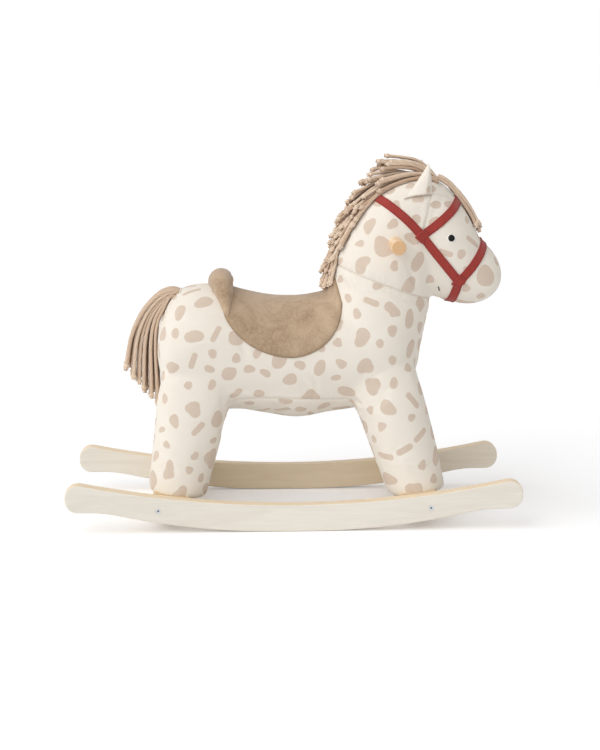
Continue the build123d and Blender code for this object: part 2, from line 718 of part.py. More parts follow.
# Cantle: a padded roll across the back of the saddle, thinning down both sides
with BuildPart() as saddle_cantle:
    mirrored = [(-angle, radius) for angle, radius in reversed(CANTLE_SECTIONS[1:])]
    for angle, radius in mirrored + CANTLE_SECTIONS:
        share = abs(angle) / CANTLE_SECTIONS[-1][0]
        swing = radians(angle)
        out = CANTLE_BACK_RADIUS + CANTLE_RISE * (1 - share)
        back_x = CANTLE_X + (CANTLE_END_X - CANTLE_X) * share
        back = (back_x, out * sin(swing), CANTLE_CENTRE_Z + out * cos(swing))
        with BuildSketch(Plane(origin=back, x_dir=(1, 0, 0), z_dir=(0, cos(swing), -sin(swing)))):
            add(oval(radius, radius))
    loft()
    add(body_form.part, mode=Mode.SUBTRACT)
with saddle_seat:
    add(saddle_cantle.part, mode=Mode.SUBTRACT)
saddle_seat.part.label = "saddle_seat"
saddle_cantle.part.label = "saddle_cantle"
parts.extend([saddle_seat.part, saddle_cantle.part])

# Mane and forelock
with BuildPart() as mane:
    add(stuffed(MANE_SECTIONS))
    for piece in (head_form, body_form, saddle_seat, cheek_strap):
        add(piece.part, mode=Mode.SUBTRACT)
    for piece in ears:
        add(piece, mode=Mode.SUBTRACT)
mane.part.label = "mane"
with BuildPart() as forelock:
    add(stuffed(FORELOCK_SECTIONS))
    for piece in (head_form, mane, browband):
        add(piece.part, mode=Mode.SUBTRACT)
forelock.part.label = "forelock"
parts.extend([mane.part, forelock.part])

# Tail: a rolled tab sewn to the rump and the strands that swing on it
with BuildPart() as tail_tab:
    with BuildSketch(Plane.XZ.offset(-TAIL_TAB_LENGTH / 2)):
        with Locations((TAIL_TAB_X, TAIL_TAB_Z)):
            Circle(TAIL_TAB_DIAMETER / 2)
            with Locations(Location((0, 0), TAIL_TAB_ANGLE)):
                Rectangle(TAIL_TAB_REACH, TAIL_TAB_WEB, align=(Align.MIN, Align.CENTER))
    extrude(amount=TAIL_TAB_LENGTH)
    add(body_form.part, mode=Mode.SUBTRACT)
tail_tab.part.label = "tail_tab"
parts.append(tail_tab.part)

root_radius = TAIL_TAB_DIAMETER / 2 + TAIL_GAP
locks = []
for column in range(STRAND_COLUMNS):
    step = column - (STRAND_COLUMNS - 1) / 2
    fan = radians(STRAND_FAN * step)
    hang = Plane(
        origin=(TAIL_TAB_X, step * STRAND_PITCH, 0),
        x_dir=(cos(fan), -sin(fan), 0),
        z_dir=(-sin(fan), -cos(fan), 0),
    )
    with BuildPart() as lock:
        for angle, bend_x, bend_z, end_x, end_z in STRAND_LAYERS:
            away = (cos(radians(angle)), sin(radians(angle)))
            heading = hang.x_dir * away[0] + hang.y_dir * away[1]
            root = (root_radius * away[0], TAIL_TAB_Z + root_radius * away[1])
            with BuildLine(hang) as strand_path:
                first = TangentArc(root, (bend_x - TAIL_TAB_X, bend_z), tangent=heading)
                TangentArc(first @ 1, (end_x - TAIL_TAB_X, end_z), tangent=first % 1)
            with BuildSketch(strand_path.line ^ 0):
                RegularPolygon(STRAND_DIAMETER / 2, 6)
            sweep(path=strand_path.line)
    locks.append(lock.part)
with BuildPart() as tail:
    add(locks)
tail.part.label = "tail"
parts.append(tail.part)

os.makedirs("parts", exist_ok=True)
for piece in parts:
    export_step(piece, f"parts/{piece.label}.step")
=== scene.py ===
import json
import math
import random

import bmesh
import bpy
import numpy as np
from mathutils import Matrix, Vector
from mathutils.bvhtree import BVHTree

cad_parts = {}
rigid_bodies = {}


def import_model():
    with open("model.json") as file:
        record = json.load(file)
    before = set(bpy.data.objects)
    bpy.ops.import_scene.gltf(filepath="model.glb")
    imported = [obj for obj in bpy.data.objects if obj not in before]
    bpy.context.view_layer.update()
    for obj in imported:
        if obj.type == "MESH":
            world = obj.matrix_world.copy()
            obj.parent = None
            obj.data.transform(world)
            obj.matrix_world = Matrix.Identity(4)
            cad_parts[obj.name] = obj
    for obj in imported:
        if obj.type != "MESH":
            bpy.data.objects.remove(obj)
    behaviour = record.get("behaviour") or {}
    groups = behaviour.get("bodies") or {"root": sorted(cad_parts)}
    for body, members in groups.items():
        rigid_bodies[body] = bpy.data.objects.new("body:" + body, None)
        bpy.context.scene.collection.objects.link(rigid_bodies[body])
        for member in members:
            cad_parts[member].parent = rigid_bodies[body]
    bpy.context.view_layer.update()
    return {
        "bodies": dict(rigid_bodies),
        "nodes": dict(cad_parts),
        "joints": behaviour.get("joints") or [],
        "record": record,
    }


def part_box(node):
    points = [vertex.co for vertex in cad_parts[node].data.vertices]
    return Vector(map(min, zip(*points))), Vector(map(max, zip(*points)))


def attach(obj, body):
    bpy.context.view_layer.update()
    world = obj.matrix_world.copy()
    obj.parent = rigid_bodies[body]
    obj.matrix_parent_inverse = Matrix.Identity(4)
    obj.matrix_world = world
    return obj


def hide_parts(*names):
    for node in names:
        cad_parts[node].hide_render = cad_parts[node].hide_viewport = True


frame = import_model()
nodes = frame["nodes"]
scene = bpy.context.scene
MM = 0.001
BODY_Z = 270.0
SIDES = ((1, "left"), (-1, "right"))
FAR = 1e3
NO_SPOT = 40.0


# Camera: slightly toward the tail, looking a little down, in the photograph's 600 x 750 frame
def make_camera():
    data = bpy.data.cameras.new("camera")
    data.sensor_fit = "HORIZONTAL"
    data.sensor_width = 36.0
    data.lens = 36.0 * 1580.8 / 600.0
    data.clip_end = 100.0
    camera = bpy.data.objects.new("camera", data)
    scene.collection.objects.link(camera)
    camera.location = (-0.0961, -2.5961, 0.7488)
    camera.rotation_euler = (math.radians(90.0 - 11.29), 0.0, math.radians(-2.42))
    scene.camera = camera


make_camera()
scene.view_settings.view_transform = "Standard"


# Materials
class Shader:
    """Small helper to lay out shader nodes by name."""

    def __init__(self, name):
        self.mat = bpy.data.materials.new(name)
        self.mat.use_nodes = True
        self.nodes = self.mat.node_tree.nodes
        self.links = self.mat.node_tree.links
        self.bsdf = self.nodes["Principled BSDF"]
        self.coord = self.nodes.new("ShaderNodeTexCoord").outputs["Object"]

    def put(self, kind, inputs=None, **props):
        node = self.nodes.new(kind)
        for key, value in props.items():
            setattr(node, key, value)
        for key, value in (inputs or {}).items():
            if hasattr(value, "is_output"):
                self.links.new(value, node.inputs[key])
            else:
                node.inputs[key].default_value = value
        return node

    def math(self, operation, a, b=0.0, c=0.0):
        return self.put("ShaderNodeMath", {0: a, 1: b, 2: c}, operation=operation).outputs[0]

    def noise(self, scale, detail=2.0, rough=0.5, vector=None, distortion=0.0):
        return self.put(
            "ShaderNodeTexNoise",
            {"Vector": vector or self.coord, "Scale": scale, "Detail": detail, "Roughness": rough,
             "Distortion": distortion},
        ).outputs["Fac"]

    def span(self, value, low, high, out_low=0.0, out_high=1.0, smooth=True):
        node = self.put(
            "ShaderNodeMapRange",
            {"Value": value, "From Min": low, "From Max": high, "To Min": out_low, "To Max": out_high},
        )
        node.interpolation_type = "SMOOTHSTEP" if smooth else "LINEAR"
        return node.outputs["Result"]

    def mix(self, factor, a, b, blend="MIX"):
        node = self.put("ShaderNodeMix", data_type="RGBA", blend_type=blend)
        pairs = {0: factor, 6: a, 7: b}
        for index, value in pairs.items():
            if hasattr(value, "is_output"):
                self.links.new(value, node.inputs[index])
            elif index == 0:
                node.inputs[index].default_value = value
            else:
                node.inputs[index].default_value = (*value, 1.0)
        return node.outputs[2]

    def attribute(self, name):
        return self.put("ShaderNodeAttribute", attribute_name=name).outputs["Fac"]

    def stretch(self, x, y, z):
        node = self.put("ShaderNodeMapping", {"Vector": self.coord, "Scale": (x, y, z)})
        return node.outputs["Vector"]

    def finish(self, color, rough=None, bump=None, strength=0.3, distance=0.001, **values):
        self.links.new(color, self.bsdf.inputs["Base Color"])
        if rough is not None:
            if hasattr(rough, "is_output"):
                self.links.new(rough, self.bsdf.inputs["Roughness"])
            else:
                self.bsdf.inputs["Roughness"].default_value = rough
        if bump is not None:
            node = self.put("ShaderNodeBump", {"Height": bump, "Strength": strength, "Distance": distance})
            self.links.new(node.outputs["Normal"], self.bsdf.inputs["Normal"])
        for key, value in values.items():
            self.bsdf.inputs[key.replace("_", " ")].default_value = value
        return self.mat


def srgb(r, g, b):
    """Linear colour of an 8-bit display colour."""
    return tuple(((c / 255 + 0.055) / 1.055) ** 2.4 if c > 10 else c / 3294.6 for c in (r, g, b))


def cotton_material():
    s = Shader("spotted_cotton")
    spot = s.attribute("spot")
    rag = s.math("MULTIPLY", s.math("SUBTRACT", s.noise(420.0, 2.0), 0.5), 1.3)
    inside = s.span(s.math("ADD", spot, rag), -0.55, 0.55, 1.0, 0.0)
    mottle = s.noise(38.0, 4.0, 0.6)
    cream = s.mix(mottle, srgb(246, 240, 230), srgb(240, 232, 219))
    taupe = s.mix(s.noise(90.0, 4.0, 0.65), srgb(222, 203, 186), srgb(211, 190, 171))
    print_wear = s.span(s.noise(900.0, 2.0, 0.6), 0.25, 0.8, 0.75, 1.0)
    seam = s.attribute("seam")
    color = s.mix(s.math("MULTIPLY", inside, print_wear), cream, taupe)
    # painted shade along seams and creases: darker brown where the cloth is drawn in
    color = s.mix(s.math("MULTIPLY", seam, 0.36), color, srgb(150, 122, 98))
    yarn = {"Vector": s.coord, "Scale": 420.0, "Distortion": 2.0, "Detail": 2.0, "Detail Scale": 3.0}
    weft = s.put("ShaderNodeTexWave", yarn, bands_direction="Z").outputs["Fac"]
    warp = s.put("ShaderNodeTexWave", yarn, bands_direction="X").outputs["Fac"]
    weave = s.math("ADD", s.math("MULTIPLY", weft, warp), s.math("MULTIPLY", s.noise(620.0, 3.0), 0.8))
    rough = s.span(mottle, 0.2, 0.8, 0.86, 0.96)
    return s.finish(color, rough, weave, 0.28, 0.0006, Sheen_Weight=0.25, Sheen_Roughness=0.5,
                    Specular_IOR_Level=0.2)


def suede_material():
    s = Shader("suede")
    nap = s.noise(16.0, 5.0, 0.62, distortion=0.6)
    fine = s.noise(260.0, 4.0, 0.7)
    color = s.mix(s.span(nap, 0.3, 0.72), srgb(160, 134, 106), srgb(198, 173, 146))
    color = s.mix(s.span(fine, 0.35, 0.75, 0.0, 0.55), color, srgb(207, 185, 160))
    # painted shade along the rolled border of the seat and in the cantle's crease and seam
    edge = s.attribute("rim")
    color = s.mix(s.math("MULTIPLY", edge, 0.5), color, srgb(134, 110, 82))
    height = s.math("ADD", s.noise(900.0, 3.0, 0.7), s.math("MULTIPLY", nap, 0.6))
    rough = s.span(nap, 0.3, 0.7, 0.88, 0.97)
    return s.finish(color, rough, height, 0.35, 0.0008, Sheen_Weight=0.45, Sheen_Roughness=0.45,
                    Specular_IOR_Level=0.15)


def cord_material():
    s = Shader("cotton_cord")
    tone = s.attribute("tone")
    ply = s.attribute("ply")
    color = s.mix(tone, srgb(199, 168, 141), srgb(241, 219, 196))
    # painted shade in the grooves between the twisted plies
    color = s.mix(s.span(ply, 0.0, 1.0, 0.26, 0.0), color, srgb(146, 116, 92))
    color = s.mix(s.span(s.noise(700.0, 3.0), 0.4, 0.8, 0.0, 0.4), color, srgb(240, 222, 203))
    # painted shade: ambient occlusion darkens the cords where they lie close together
    open_air = s.put("ShaderNodeAmbientOcclusion", {"Distance": 0.011}, samples=8).outputs["AO"]
    color = s.mix(s.span(open_air, 0.12, 0.80, 0.66, 0.0), color, srgb(120, 88, 66))
    height = s.math("ADD", s.noise(1500.0, 2.0, 0.7), s.math("MULTIPLY", ply, 0.8))
    rough = s.span(s.noise(300.0), 0.3, 0.7, 0.85, 0.95)
    return s.finish(color, rough, height, 0.5, 0.0006, Sheen_Weight=0.3, Specular_IOR_Level=0.2)


def webbing_material():
    s = Shader("webbing")
    along = s.put("ShaderNodeUVMap", uv_map="uv").outputs["UV"]
    ribs = s.put("ShaderNodeTexWave", {"Vector": along, "Scale": 160.0, "Distortion": 0.6, "Detail": 1.0},
                 bands_direction="DIAGONAL").outputs["Fac"]
    tone = s.noise(120.0, 3.0)
    color = s.mix(tone, srgb(156, 52, 47), srgb(178, 71, 63))
    color = s.mix(s.span(ribs, 0.0, 1.0, 0.0, 0.22), color, srgb(112, 30, 29))
    height = s.math("ADD", ribs, s.math("MULTIPLY", s.noise(900.0, 2.0), 0.6))
    rough = s.span(tone, 0.3, 0.7, 0.72, 0.86)
    return s.finish(color, rough, height, 0.45, 0.0005, Sheen_Weight=0.2, Specular_IOR_Level=0.25)


def thread_material(name, low, high):
    s = Shader(name)
    color = s.mix(s.noise(900.0, 2.0), low, high)
    return s.finish(color, s.span(s.noise(500.0), 0.3, 0.7, 0.6, 0.8), s.noise(2400.0), 0.4, 0.0003)


def plywood_material():
    s = Shader("washed_plywood")
    grain_space = s.stretch(9.0, 60.0, 90.0)
    grain = s.noise(1.0, 5.0, 0.6, grain_space, 0.8)
    pores = s.noise(1.0, 3.0, 0.7, s.stretch(26.0, 300.0, 420.0))
    face = s.mix(s.span(grain, 0.3, 0.72), srgb(240, 235, 225), srgb(233, 227, 215))
    split = s.put("ShaderNodeSeparateXYZ", {"Vector": s.coord})
    depth = s.math("ABSOLUTE", split.outputs["Y"])
    # painted warm bounce light: the inner faces between the legs are tinted lighter and warmer where the body
    # shades them
    painted_bounce_light = s.mix(s.span(grain, 0.3, 0.72), srgb(254, 238, 212), srgb(247, 230, 203))
    x = split.outputs["X"]
    along = s.math("MULTIPLY", s.span(x, -0.26, -0.17), s.span(x, 0.16, 0.24, 1.0, 0.3))
    painted_bounce_mask = s.math("MULTIPLY", s.span(depth, 0.1205, 0.1215, 1.0, 0.0), along)
    face = s.mix(painted_bounce_mask, face, painted_bounce_light)
    face = s.mix(s.span(pores, 0.55, 0.8, 0.0, 0.22), face, srgb(206, 196, 178))
    band = s.math("FRACT", s.math("MULTIPLY", s.math("SUBTRACT", depth, 0.120), 1000.0 / 3.08))
    ply = s.span(s.math("PINGPONG", band, 0.5), 0.16, 0.34)
    edge = s.mix(ply, srgb(233, 211, 178), srgb(247, 235, 215))
    edge = s.mix(s.span(s.noise(1.0, 4.0, 0.6, s.stretch(60.0, 900.0, 60.0)), 0.35, 0.75, 0.0, 0.4), edge,
                 srgb(222, 192, 154))
    normal = s.put("ShaderNodeNewGeometry").outputs["True Normal"]
    facing = s.math("ABSOLUTE", s.put("ShaderNodeSeparateXYZ", {"Vector": normal}).outputs["Y"])
    on_face = s.span(facing, 0.72, 0.96)
    color = s.mix(on_face, edge, face)
    height = s.math("ADD", grain, s.math("MULTIPLY", pores, 0.6))
    return s.finish(color, s.span(grain, 0.3, 0.7, 0.5, 0.66), height, 0.12, 0.0006, Specular_IOR_Level=0.35)


def birch_material(name, along, light, dark, end=None):
    s = Shader(name)
    scale = {"X": (8.0, 130.0, 130.0), "Y": (130.0, 8.0, 130.0), "Z": (130.0, 130.0, 8.0)}[along]
    grain = s.noise(1.0, 5.0, 0.6, s.stretch(*scale), 1.0)
    pores = s.noise(1.0, 3.0, 0.7, s.stretch(*[v * 4.0 for v in scale]))
    color = s.mix(s.span(grain, 0.3, 0.72), light, dark)
    color = s.mix(s.span(pores, 0.55, 0.8, 0.0, 0.4), color, tuple(c * 0.72 for c in dark))
    if end:
        normal = s.put("ShaderNodeNewGeometry").outputs["True Normal"]
        facing = s.math("ABSOLUTE", s.put("ShaderNodeSeparateXYZ", {"Vector": normal}).outputs[along])
        growth = {"Vector": s.coord, "Scale": 210.0, "Distortion": 2.5}
        rings = s.put("ShaderNodeTexWave", growth, wave_type="RINGS", rings_direction=along).outputs["Fac"]
        cut = s.mix(s.span(rings, 0.2, 0.9, 0.0, 0.5), end, dark)
        color = s.mix(s.span(facing, 0.75, 0.95), color, cut)
    height = s.math("ADD", grain, pores)
    return s.finish(color, s.span(grain, 0.3, 0.7, 0.42, 0.58), height, 0.1, 0.0005, Specular_IOR_Level=0.4)


def steel_material():
    s = Shader("zinc_steel")
    swirl = s.noise(900.0, 3.0)
    color = s.mix(swirl, srgb(176, 178, 182), srgb(206, 207, 210))
    return s.finish(color, s.span(swirl, 0.3, 0.7, 0.28, 0.42), swirl, 0.05, 0.0002, Metallic=1.0)


def gloss_black_material():
    s = Shader("eye_black")
    haze = s.noise(200.0)
    color = s.mix(haze, srgb(9, 9, 10), srgb(15, 14, 15))
    return s.finish(color, s.span(haze, 0.3, 0.7, 0.2, 0.3), haze, 0.02, 0.0002, Specular_IOR_Level=0.22)


cotton = cotton_material()
suede = suede_material()
cord = cord_material()
webbing = webbing_material()
red_thread = thread_material("red_thread", srgb(84, 18, 20), srgb(112, 30, 30))
dark_thread = thread_material("dark_thread", srgb(26, 22, 22), srgb(44, 38, 36))
plywood = plywood_material()
rail_birch = birch_material("rail_birch", "Y", srgb(232, 211, 176), srgb(214, 186, 144))
handle_birch = birch_material("handle_birch", "Y", srgb(242, 213, 178), srgb(228, 192, 150),
                              srgb(222, 180, 134))
frame_timber = birch_material("frame_timber", "Z", srgb(222, 196, 152), srgb(198, 164, 116))
steel = steel_material()
eye_black = gloss_black_material()


# Mesh helpers, all in millimetres
def make_object(name, verts, faces, material, smooth=True):
    mesh = bpy.data.meshes.new(name)
    mesh.from_pydata([tuple(c * MM for c in v) for v in verts], [], [tuple(f) for f in faces])
    mesh.materials.append(material)
    mesh.polygons.foreach_set("use_smooth", [smooth] * len(mesh.polygons))
    mesh.validate()
    obj = bpy.data.objects.new(name, mesh)
    scene.collection.objects.link(obj)
    return obj


def set_attribute(obj, name, values):
    layer = obj.data.attributes.new(name, "FLOAT", "POINT")
    layer.data.foreach_set("value", np.asarray(values, np.float32))


def coords(obj):
    flat = np.zeros(len(obj.data.vertices) * 3)
    obj.data.vertices.foreach_get("co", flat)
    return flat.reshape(-1, 3) / MM


def catmull(points, count):
    """Smooth curve through rows of numbers, count samples for each span."""
    p = np.asarray(points, float)
    p = np.vstack([2 * p[0] - p[1], p, 2 * p[-1] - p[-2]])
    out = []
    for i in range(1, len(p) - 2):
        a, b, c, d = p[i - 1], p[i], p[i + 1], p[i + 2]
        for k in range(count):
            t = k / count
            out.append(0.5 * (2 * b + (c - a) * t + (2 * a - 5 * b + 4 * c - d) * t * t
                              + (3 * b - a - 3 * c + d) * t ** 3))
    out.append(p[-2])
    return np.array(out)


def tube_faces(rings, count, close=True):
    faces = []
    for r in range(rings - 1):
        for i in range(count):
            j = (i + 1) % count
            faces.append((r * count + i, r * count + j, (r + 1) * count + j, (r + 1) * count + i))
    if close:
        faces.append(tuple(range(count))[::-1])
        faces.append(tuple((rings - 1) * count + i for i in range(count)))
    return faces


def loft(sections, fullness=2.1, around=56, between=5):
    """Closed skin through oval sections given by two outline points, a half width and a side offset."""
    rows = [(*s[:5], s[5] if len(s) > 5 else 0.0) for s in sections]
    verts = []
    dense = catmull(rows, between)
    angles = np.linspace(0, 2 * math.pi, around, endpoint=False)
    power = 2.0 / fullness
    for low_x, low_z, high_x, high_z, half, side in dense:
        middle = np.array([(low_x + high_x) / 2, side, (low_z + high_z) / 2])
        up = np.array([(high_x - low_x) / 2, 0.0, (high_z - low_z) / 2])
        wide = np.array([0.0, max(half, 0.5), 0.0])
        for a in angles:
            c, s = math.cos(a), math.sin(a)
            across = math.copysign(abs(c) ** power, c)
            rise = math.copysign(abs(s) ** power, s)
            verts.append(middle + wide * across + up * rise)
    return verts, tube_faces(len(dense), around)


def neighbours(obj):
    edges = np.zeros(len(obj.data.edges) * 2, int)
    obj.data.edges.foreach_get("vertices", edges)
    return edges.reshape(-1, 2)


def relax(points, edges, times, factor=0.5):
    count = np.bincount(edges.ravel(), minlength=len(points)).astype(float)[:, None]
    for _ in range(times):
        total = np.zeros_like(points)
        np.add.at(total, edges[:, 0], points[edges[:, 1]])
        np.add.at(total, edges[:, 1], points[edges[:, 0]])
        points = points + factor * (total / count - points)
    return points


def write_coords(obj, points):
    obj.data.vertices.foreach_set("co", (points * MM).ravel())
    obj.data.update()


def vertex_normals(obj):
    flat = np.zeros(len(obj.data.vertices) * 3)
    obj.data.vertex_normals.foreach_get("vector", flat)
    return flat.reshape(-1, 3)


def apply_modifiers(obj):
    graph = bpy.context.evaluated_depsgraph_get()
    mesh = bpy.data.meshes.new_from_object(obj.evaluated_get(graph))
    old = obj.data
    obj.modifiers.clear()
    obj.data = mesh
    bpy.data.meshes.remove(old)
    mesh.polygons.foreach_set("use_smooth", [True] * len(mesh.polygons))


def subdivide(obj):
    smooth = obj.modifiers.new("smooth", "SUBSURF")
    smooth.levels = 1
    smooth.render_levels = 1
    apply_modifiers(obj)


def face_outward(obj, merge=0.0):
    """Turns all faces outward, after joining points that meet."""
    fix = bmesh.new()
    fix.from_mesh(obj.data)
    if merge:
        bmesh.ops.remove_doubles(fix, verts=fix.verts, dist=merge)
    bmesh.ops.recalc_face_normals(fix, faces=fix.faces)
    fix.to_mesh(obj.data)
    fix.free()


def sheet_faces(rows, cols):
    """Faces of a sheet of two layers, the outer grid first, closed round its border."""
    size = rows * cols
    faces = []
    for k in range(rows - 1):
        for j in range(cols - 1):
            a = k * cols + j
            faces.append((a, a + 1, a + cols + 1, a + cols))
            faces.append((size + a, size + a + cols, size + a + cols + 1, size + a + 1))
    ring = list(range(cols))
    ring += [k * cols + cols - 1 for k in range(1, rows)]
    ring += [(rows - 1) * cols + j for j in range(cols - 2, -1, -1)]
    ring += [k * cols for k in range(rows - 2, 0, -1)]
    for a, b in zip(ring, ring[1:] + ring[:1]):
        faces.append((b, a, size + a, size + b))
    return faces


def axes_across(normal):
    """Two directions at right angles to a normal."""
    a = np.cross(normal, [0.0, 0.0, 1.0])
    a /= np.linalg.norm(a)
    return a, np.cross(normal, a)


# The stuffed cover: body, head and legs as one sewn skin
def lifted(sections):
    return [(a, BODY_Z + b, c, BODY_Z + d, *rest) for a, b, c, d, *rest in sections]


BARREL = lifted([
    (-221, -2, -221, 30, 24), (-217, -32, -217, 50, 56), (-208, -55, -208, 72, 77),
    (-195, -75, -195, 96, 92), (-165, -90, -165, 111.5, 101), (-125, -93, -125, 113, 103),
    (-85, -91, -85, 100, 101), (-40, -99, -40, 91, 98), (10, -107, 10, 91, 97),
    (60, -97, 60, 98, 98), (110, -90, 110, 100, 99), (160, -80, 160, 90, 93), (192, -52, 192, 66, 74)])
CHEST = lifted([
    (190, -60, 86, -56, 72), (208, -20, 66, -12, 92), (219, 35, 58, 50, 95), (225, 70, 58, 98, 89),
    (227, 92, 63, 133, 81)])
NECK = lifted([
    (227, 92, 63, 133, 81), (235, 118, 68, 160, 78), (246, 154, 84, 193, 71), (256, 194, 106, 230, 64),
    (262, 232, 134, 259, 56), (262, 259, 163, 277, 45), (246, 280, 196, 288, 24)])
FACE = lifted([
    (168, 160, 236, 277, 46), (188, 138, 258, 267, 57), (208, 114, 281, 240.5, 61),
    (231, 97, 298.5, 210, 60), (255, 88, 310.5, 187, 57), (283, 81.5, 330.5, 168.5, 54),
    (308, 84.5, 343, 147.5, 47), (324, 92.5, 346, 128, 34),
    (336, 102, 344.5, 115, 12)])
# foot middle, hip middle and the tilt of the rail under the foot
LEGS = {
    "front": ((203.4, 50.0), (134.4, 279.0), 6.76),
    "rear": ((-191.7, 50.6), (-147.3, 279.0), -6.76),
}
# share of the way up, half length and half width
LEG_SHAPE = [(0.0, 46, 46), (0.014, 47.9, 48), (0.05, 48.8, 48.6), (0.25, 51.4, 48.3), (0.45, 55.3, 48.5),
             (0.7, 59.5, 46), (1.0, 60, 31)]


def leg_sections(end, sign):
    (foot_x, foot_z), (hip_x, hip_z), tilt = LEGS[end]
    out = []
    for share, half_long, half_wide in LEG_SHAPE:
        x = foot_x + (hip_x - foot_x) * share
        z = foot_z + (hip_z - foot_z) * share
        lean = math.radians(tilt * (1 - share))
        dx, dz = half_long * math.cos(lean), half_long * math.sin(lean)
        side = sign * (72.0 + (57.0 - 72.0) * share)
        out.append((x + dx, z + dz, x - dx, z - dz, half_wide, side))
    return out


# a point of the seam round the neck and the direction across it
NECK_SEAM = (np.array([157.0, 0, 388.6]), np.array([0.3487, 0.0, 0.9372]))
# seams on both flanks, in side view
EDGE_SEAMS = {
    "dart": [(225, 536), (221, 520), (217, 500), (212, 482), (209, 469)],
    "temple": [(225, 536), (238, 535), (253, 530), (266, 522)],
    "belly": [(-106, 198), (-95, 204), (-60, 207), (-20, 207), (20, 205.5), (60, 203.5), (92, 203),
              (106, 200)],
    "hind crease": [(-101, 191), (-90, 202)],
    "upper crease": [(-106, 197), (-101, 214)],
    "fore crease": [(108, 198), (98, 208)],
}
# how deep a seam is drawn in and how dark its painted shade shows
SEAM_LOOKS = {"dart": (1.3, 0.6), "temple": (0.9, 0.4), "belly": (1.5, 0.6)}
CREASE_LOOK = (2.2, 0.25)
CENTRE_LOOK = (1.2, 0.55)


def segment_distance(points, line):
    best = np.full(len(points), 1e9)
    for a, b in zip(line[:-1], line[1:]):
        a, b = np.array(a, float), np.array(b, float)
        t = np.clip(((points - a) @ (b - a)) / ((b - a) @ (b - a)), 0, 1)
        best = np.minimum(best, np.linalg.norm(points - (a + t[:, None] * (b - a)), axis=1))
    return best


def neck_seam_distance(points):
    above = (points - NECK_SEAM[0]) @ NECK_SEAM[1]
    near_neck = (points[:, 0] > 55) & (points[:, 0] < 226) & (points[:, 2] > 330)
    return np.where(near_neck, np.abs(above), FAR)


def edge_seam_distance(points, normal, line):
    flank = (np.abs(normal[:, 1]) > 0.3) & (np.abs(points[:, 1]) > 20)
    return np.where(flank, segment_distance(points[:, [0, 2]], line), FAR)


def on_chest(points):
    return (points[:, 0] > 195) & (points[:, 2] > 235) & (points[:, 2] < 358)


def seam_distance(points, normal):
    """Distance of each point of the cover from the nearest sewn seam."""
    best = neck_seam_distance(points)
    for line in EDGE_SEAMS.values():
        best = np.minimum(best, edge_seam_distance(points, normal, line))
    back = (points[:, 0] < -195) & (points[:, 2] > 245) & (points[:, 2] < 372)
    return np.minimum(best, np.where(back | on_chest(points), np.abs(points[:, 1]), FAR))


def stuff(obj, held, cap):
    """Swells a sewn cover as cloth under pressure from inside, held at its seams, by no more than the cap."""
    start = coords(obj)
    group = obj.vertex_groups.new(name="sewn")
    for index, weight in enumerate(held):
        if weight > 0.02:
            group.add([index], float(weight), "REPLACE")
    cloth = obj.modifiers.new("stuffing", "CLOTH")
    settings = cloth.settings
    settings.quality = 5
    settings.mass = 0.3
    settings.tension_stiffness = 12
    settings.compression_stiffness = 12
    settings.shear_stiffness = 5
    settings.bending_stiffness = 0.4
    settings.use_pressure = True
    settings.uniform_pressure_force = 4.0
    settings.shrink_min = -0.02
    settings.effector_weights.gravity = 0
    settings.vertex_group_mass = "sewn"
    cloth.collision_settings.use_collision = False
    cloth.point_cache.frame_start = 1
    cloth.point_cache.frame_end = 12
    for frame in range(1, 13):
        scene.frame_set(frame)
    graph = bpy.context.evaluated_depsgraph_get()
    mesh = obj.evaluated_get(graph).to_mesh()
    flat = np.empty(len(mesh.vertices) * 3)
    mesh.vertices.foreach_get("co", flat)
    move = flat.reshape(-1, 3) / MM - start
    obj.modifiers.remove(cloth)
    obj.vertex_groups.remove(group)
    length = np.linalg.norm(move, axis=1)
    move *= (cap * np.tanh(length / cap) / np.maximum(length, 1e-6))[:, None]
    write_coords(obj, start + move)
    scene.frame_set(1)


def make_cover():
    verts, faces = [], []
    forms = [loft(BARREL), loft(CHEST), loft(NECK), loft(FACE)]
    forms += [loft(leg_sections(end, sign)) for end in LEGS for sign in (1, -1)]
    for form_verts, form_faces in forms:
        base = len(verts)
        verts += form_verts
        faces += [tuple(base + i for i in f) for f in form_faces]
    cover = make_object("stuffed_cover", verts, faces, cotton)
    remesh = cover.modifiers.new("remesh", "REMESH")
    remesh.mode = "VOXEL"
    remesh.voxel_size = 4.0 * MM
    apply_modifiers(cover)
    points = coords(cover)
    edges = neighbours(cover)
    smooth = relax(points, edges, 13)
    # feet stay flat on the rails, so they are relaxed less
    gentle = relax(points, edges, 6)
    share = np.clip((points[:, 2] - 70) / 30, 0, 1)[:, None]
    points = gentle + (smooth - gentle) * share
    write_coords(cover, points)
    normal = vertex_normals(cover)
    write_coords(cover, points + normal * 0.6 * share)
    held = np.maximum(1.0 - share[:, 0], np.exp(-(seam_distance(points, normal) / 5.0) ** 2))
    stuff(cover, held, 2.0)
    subdivide(cover)
    return cover


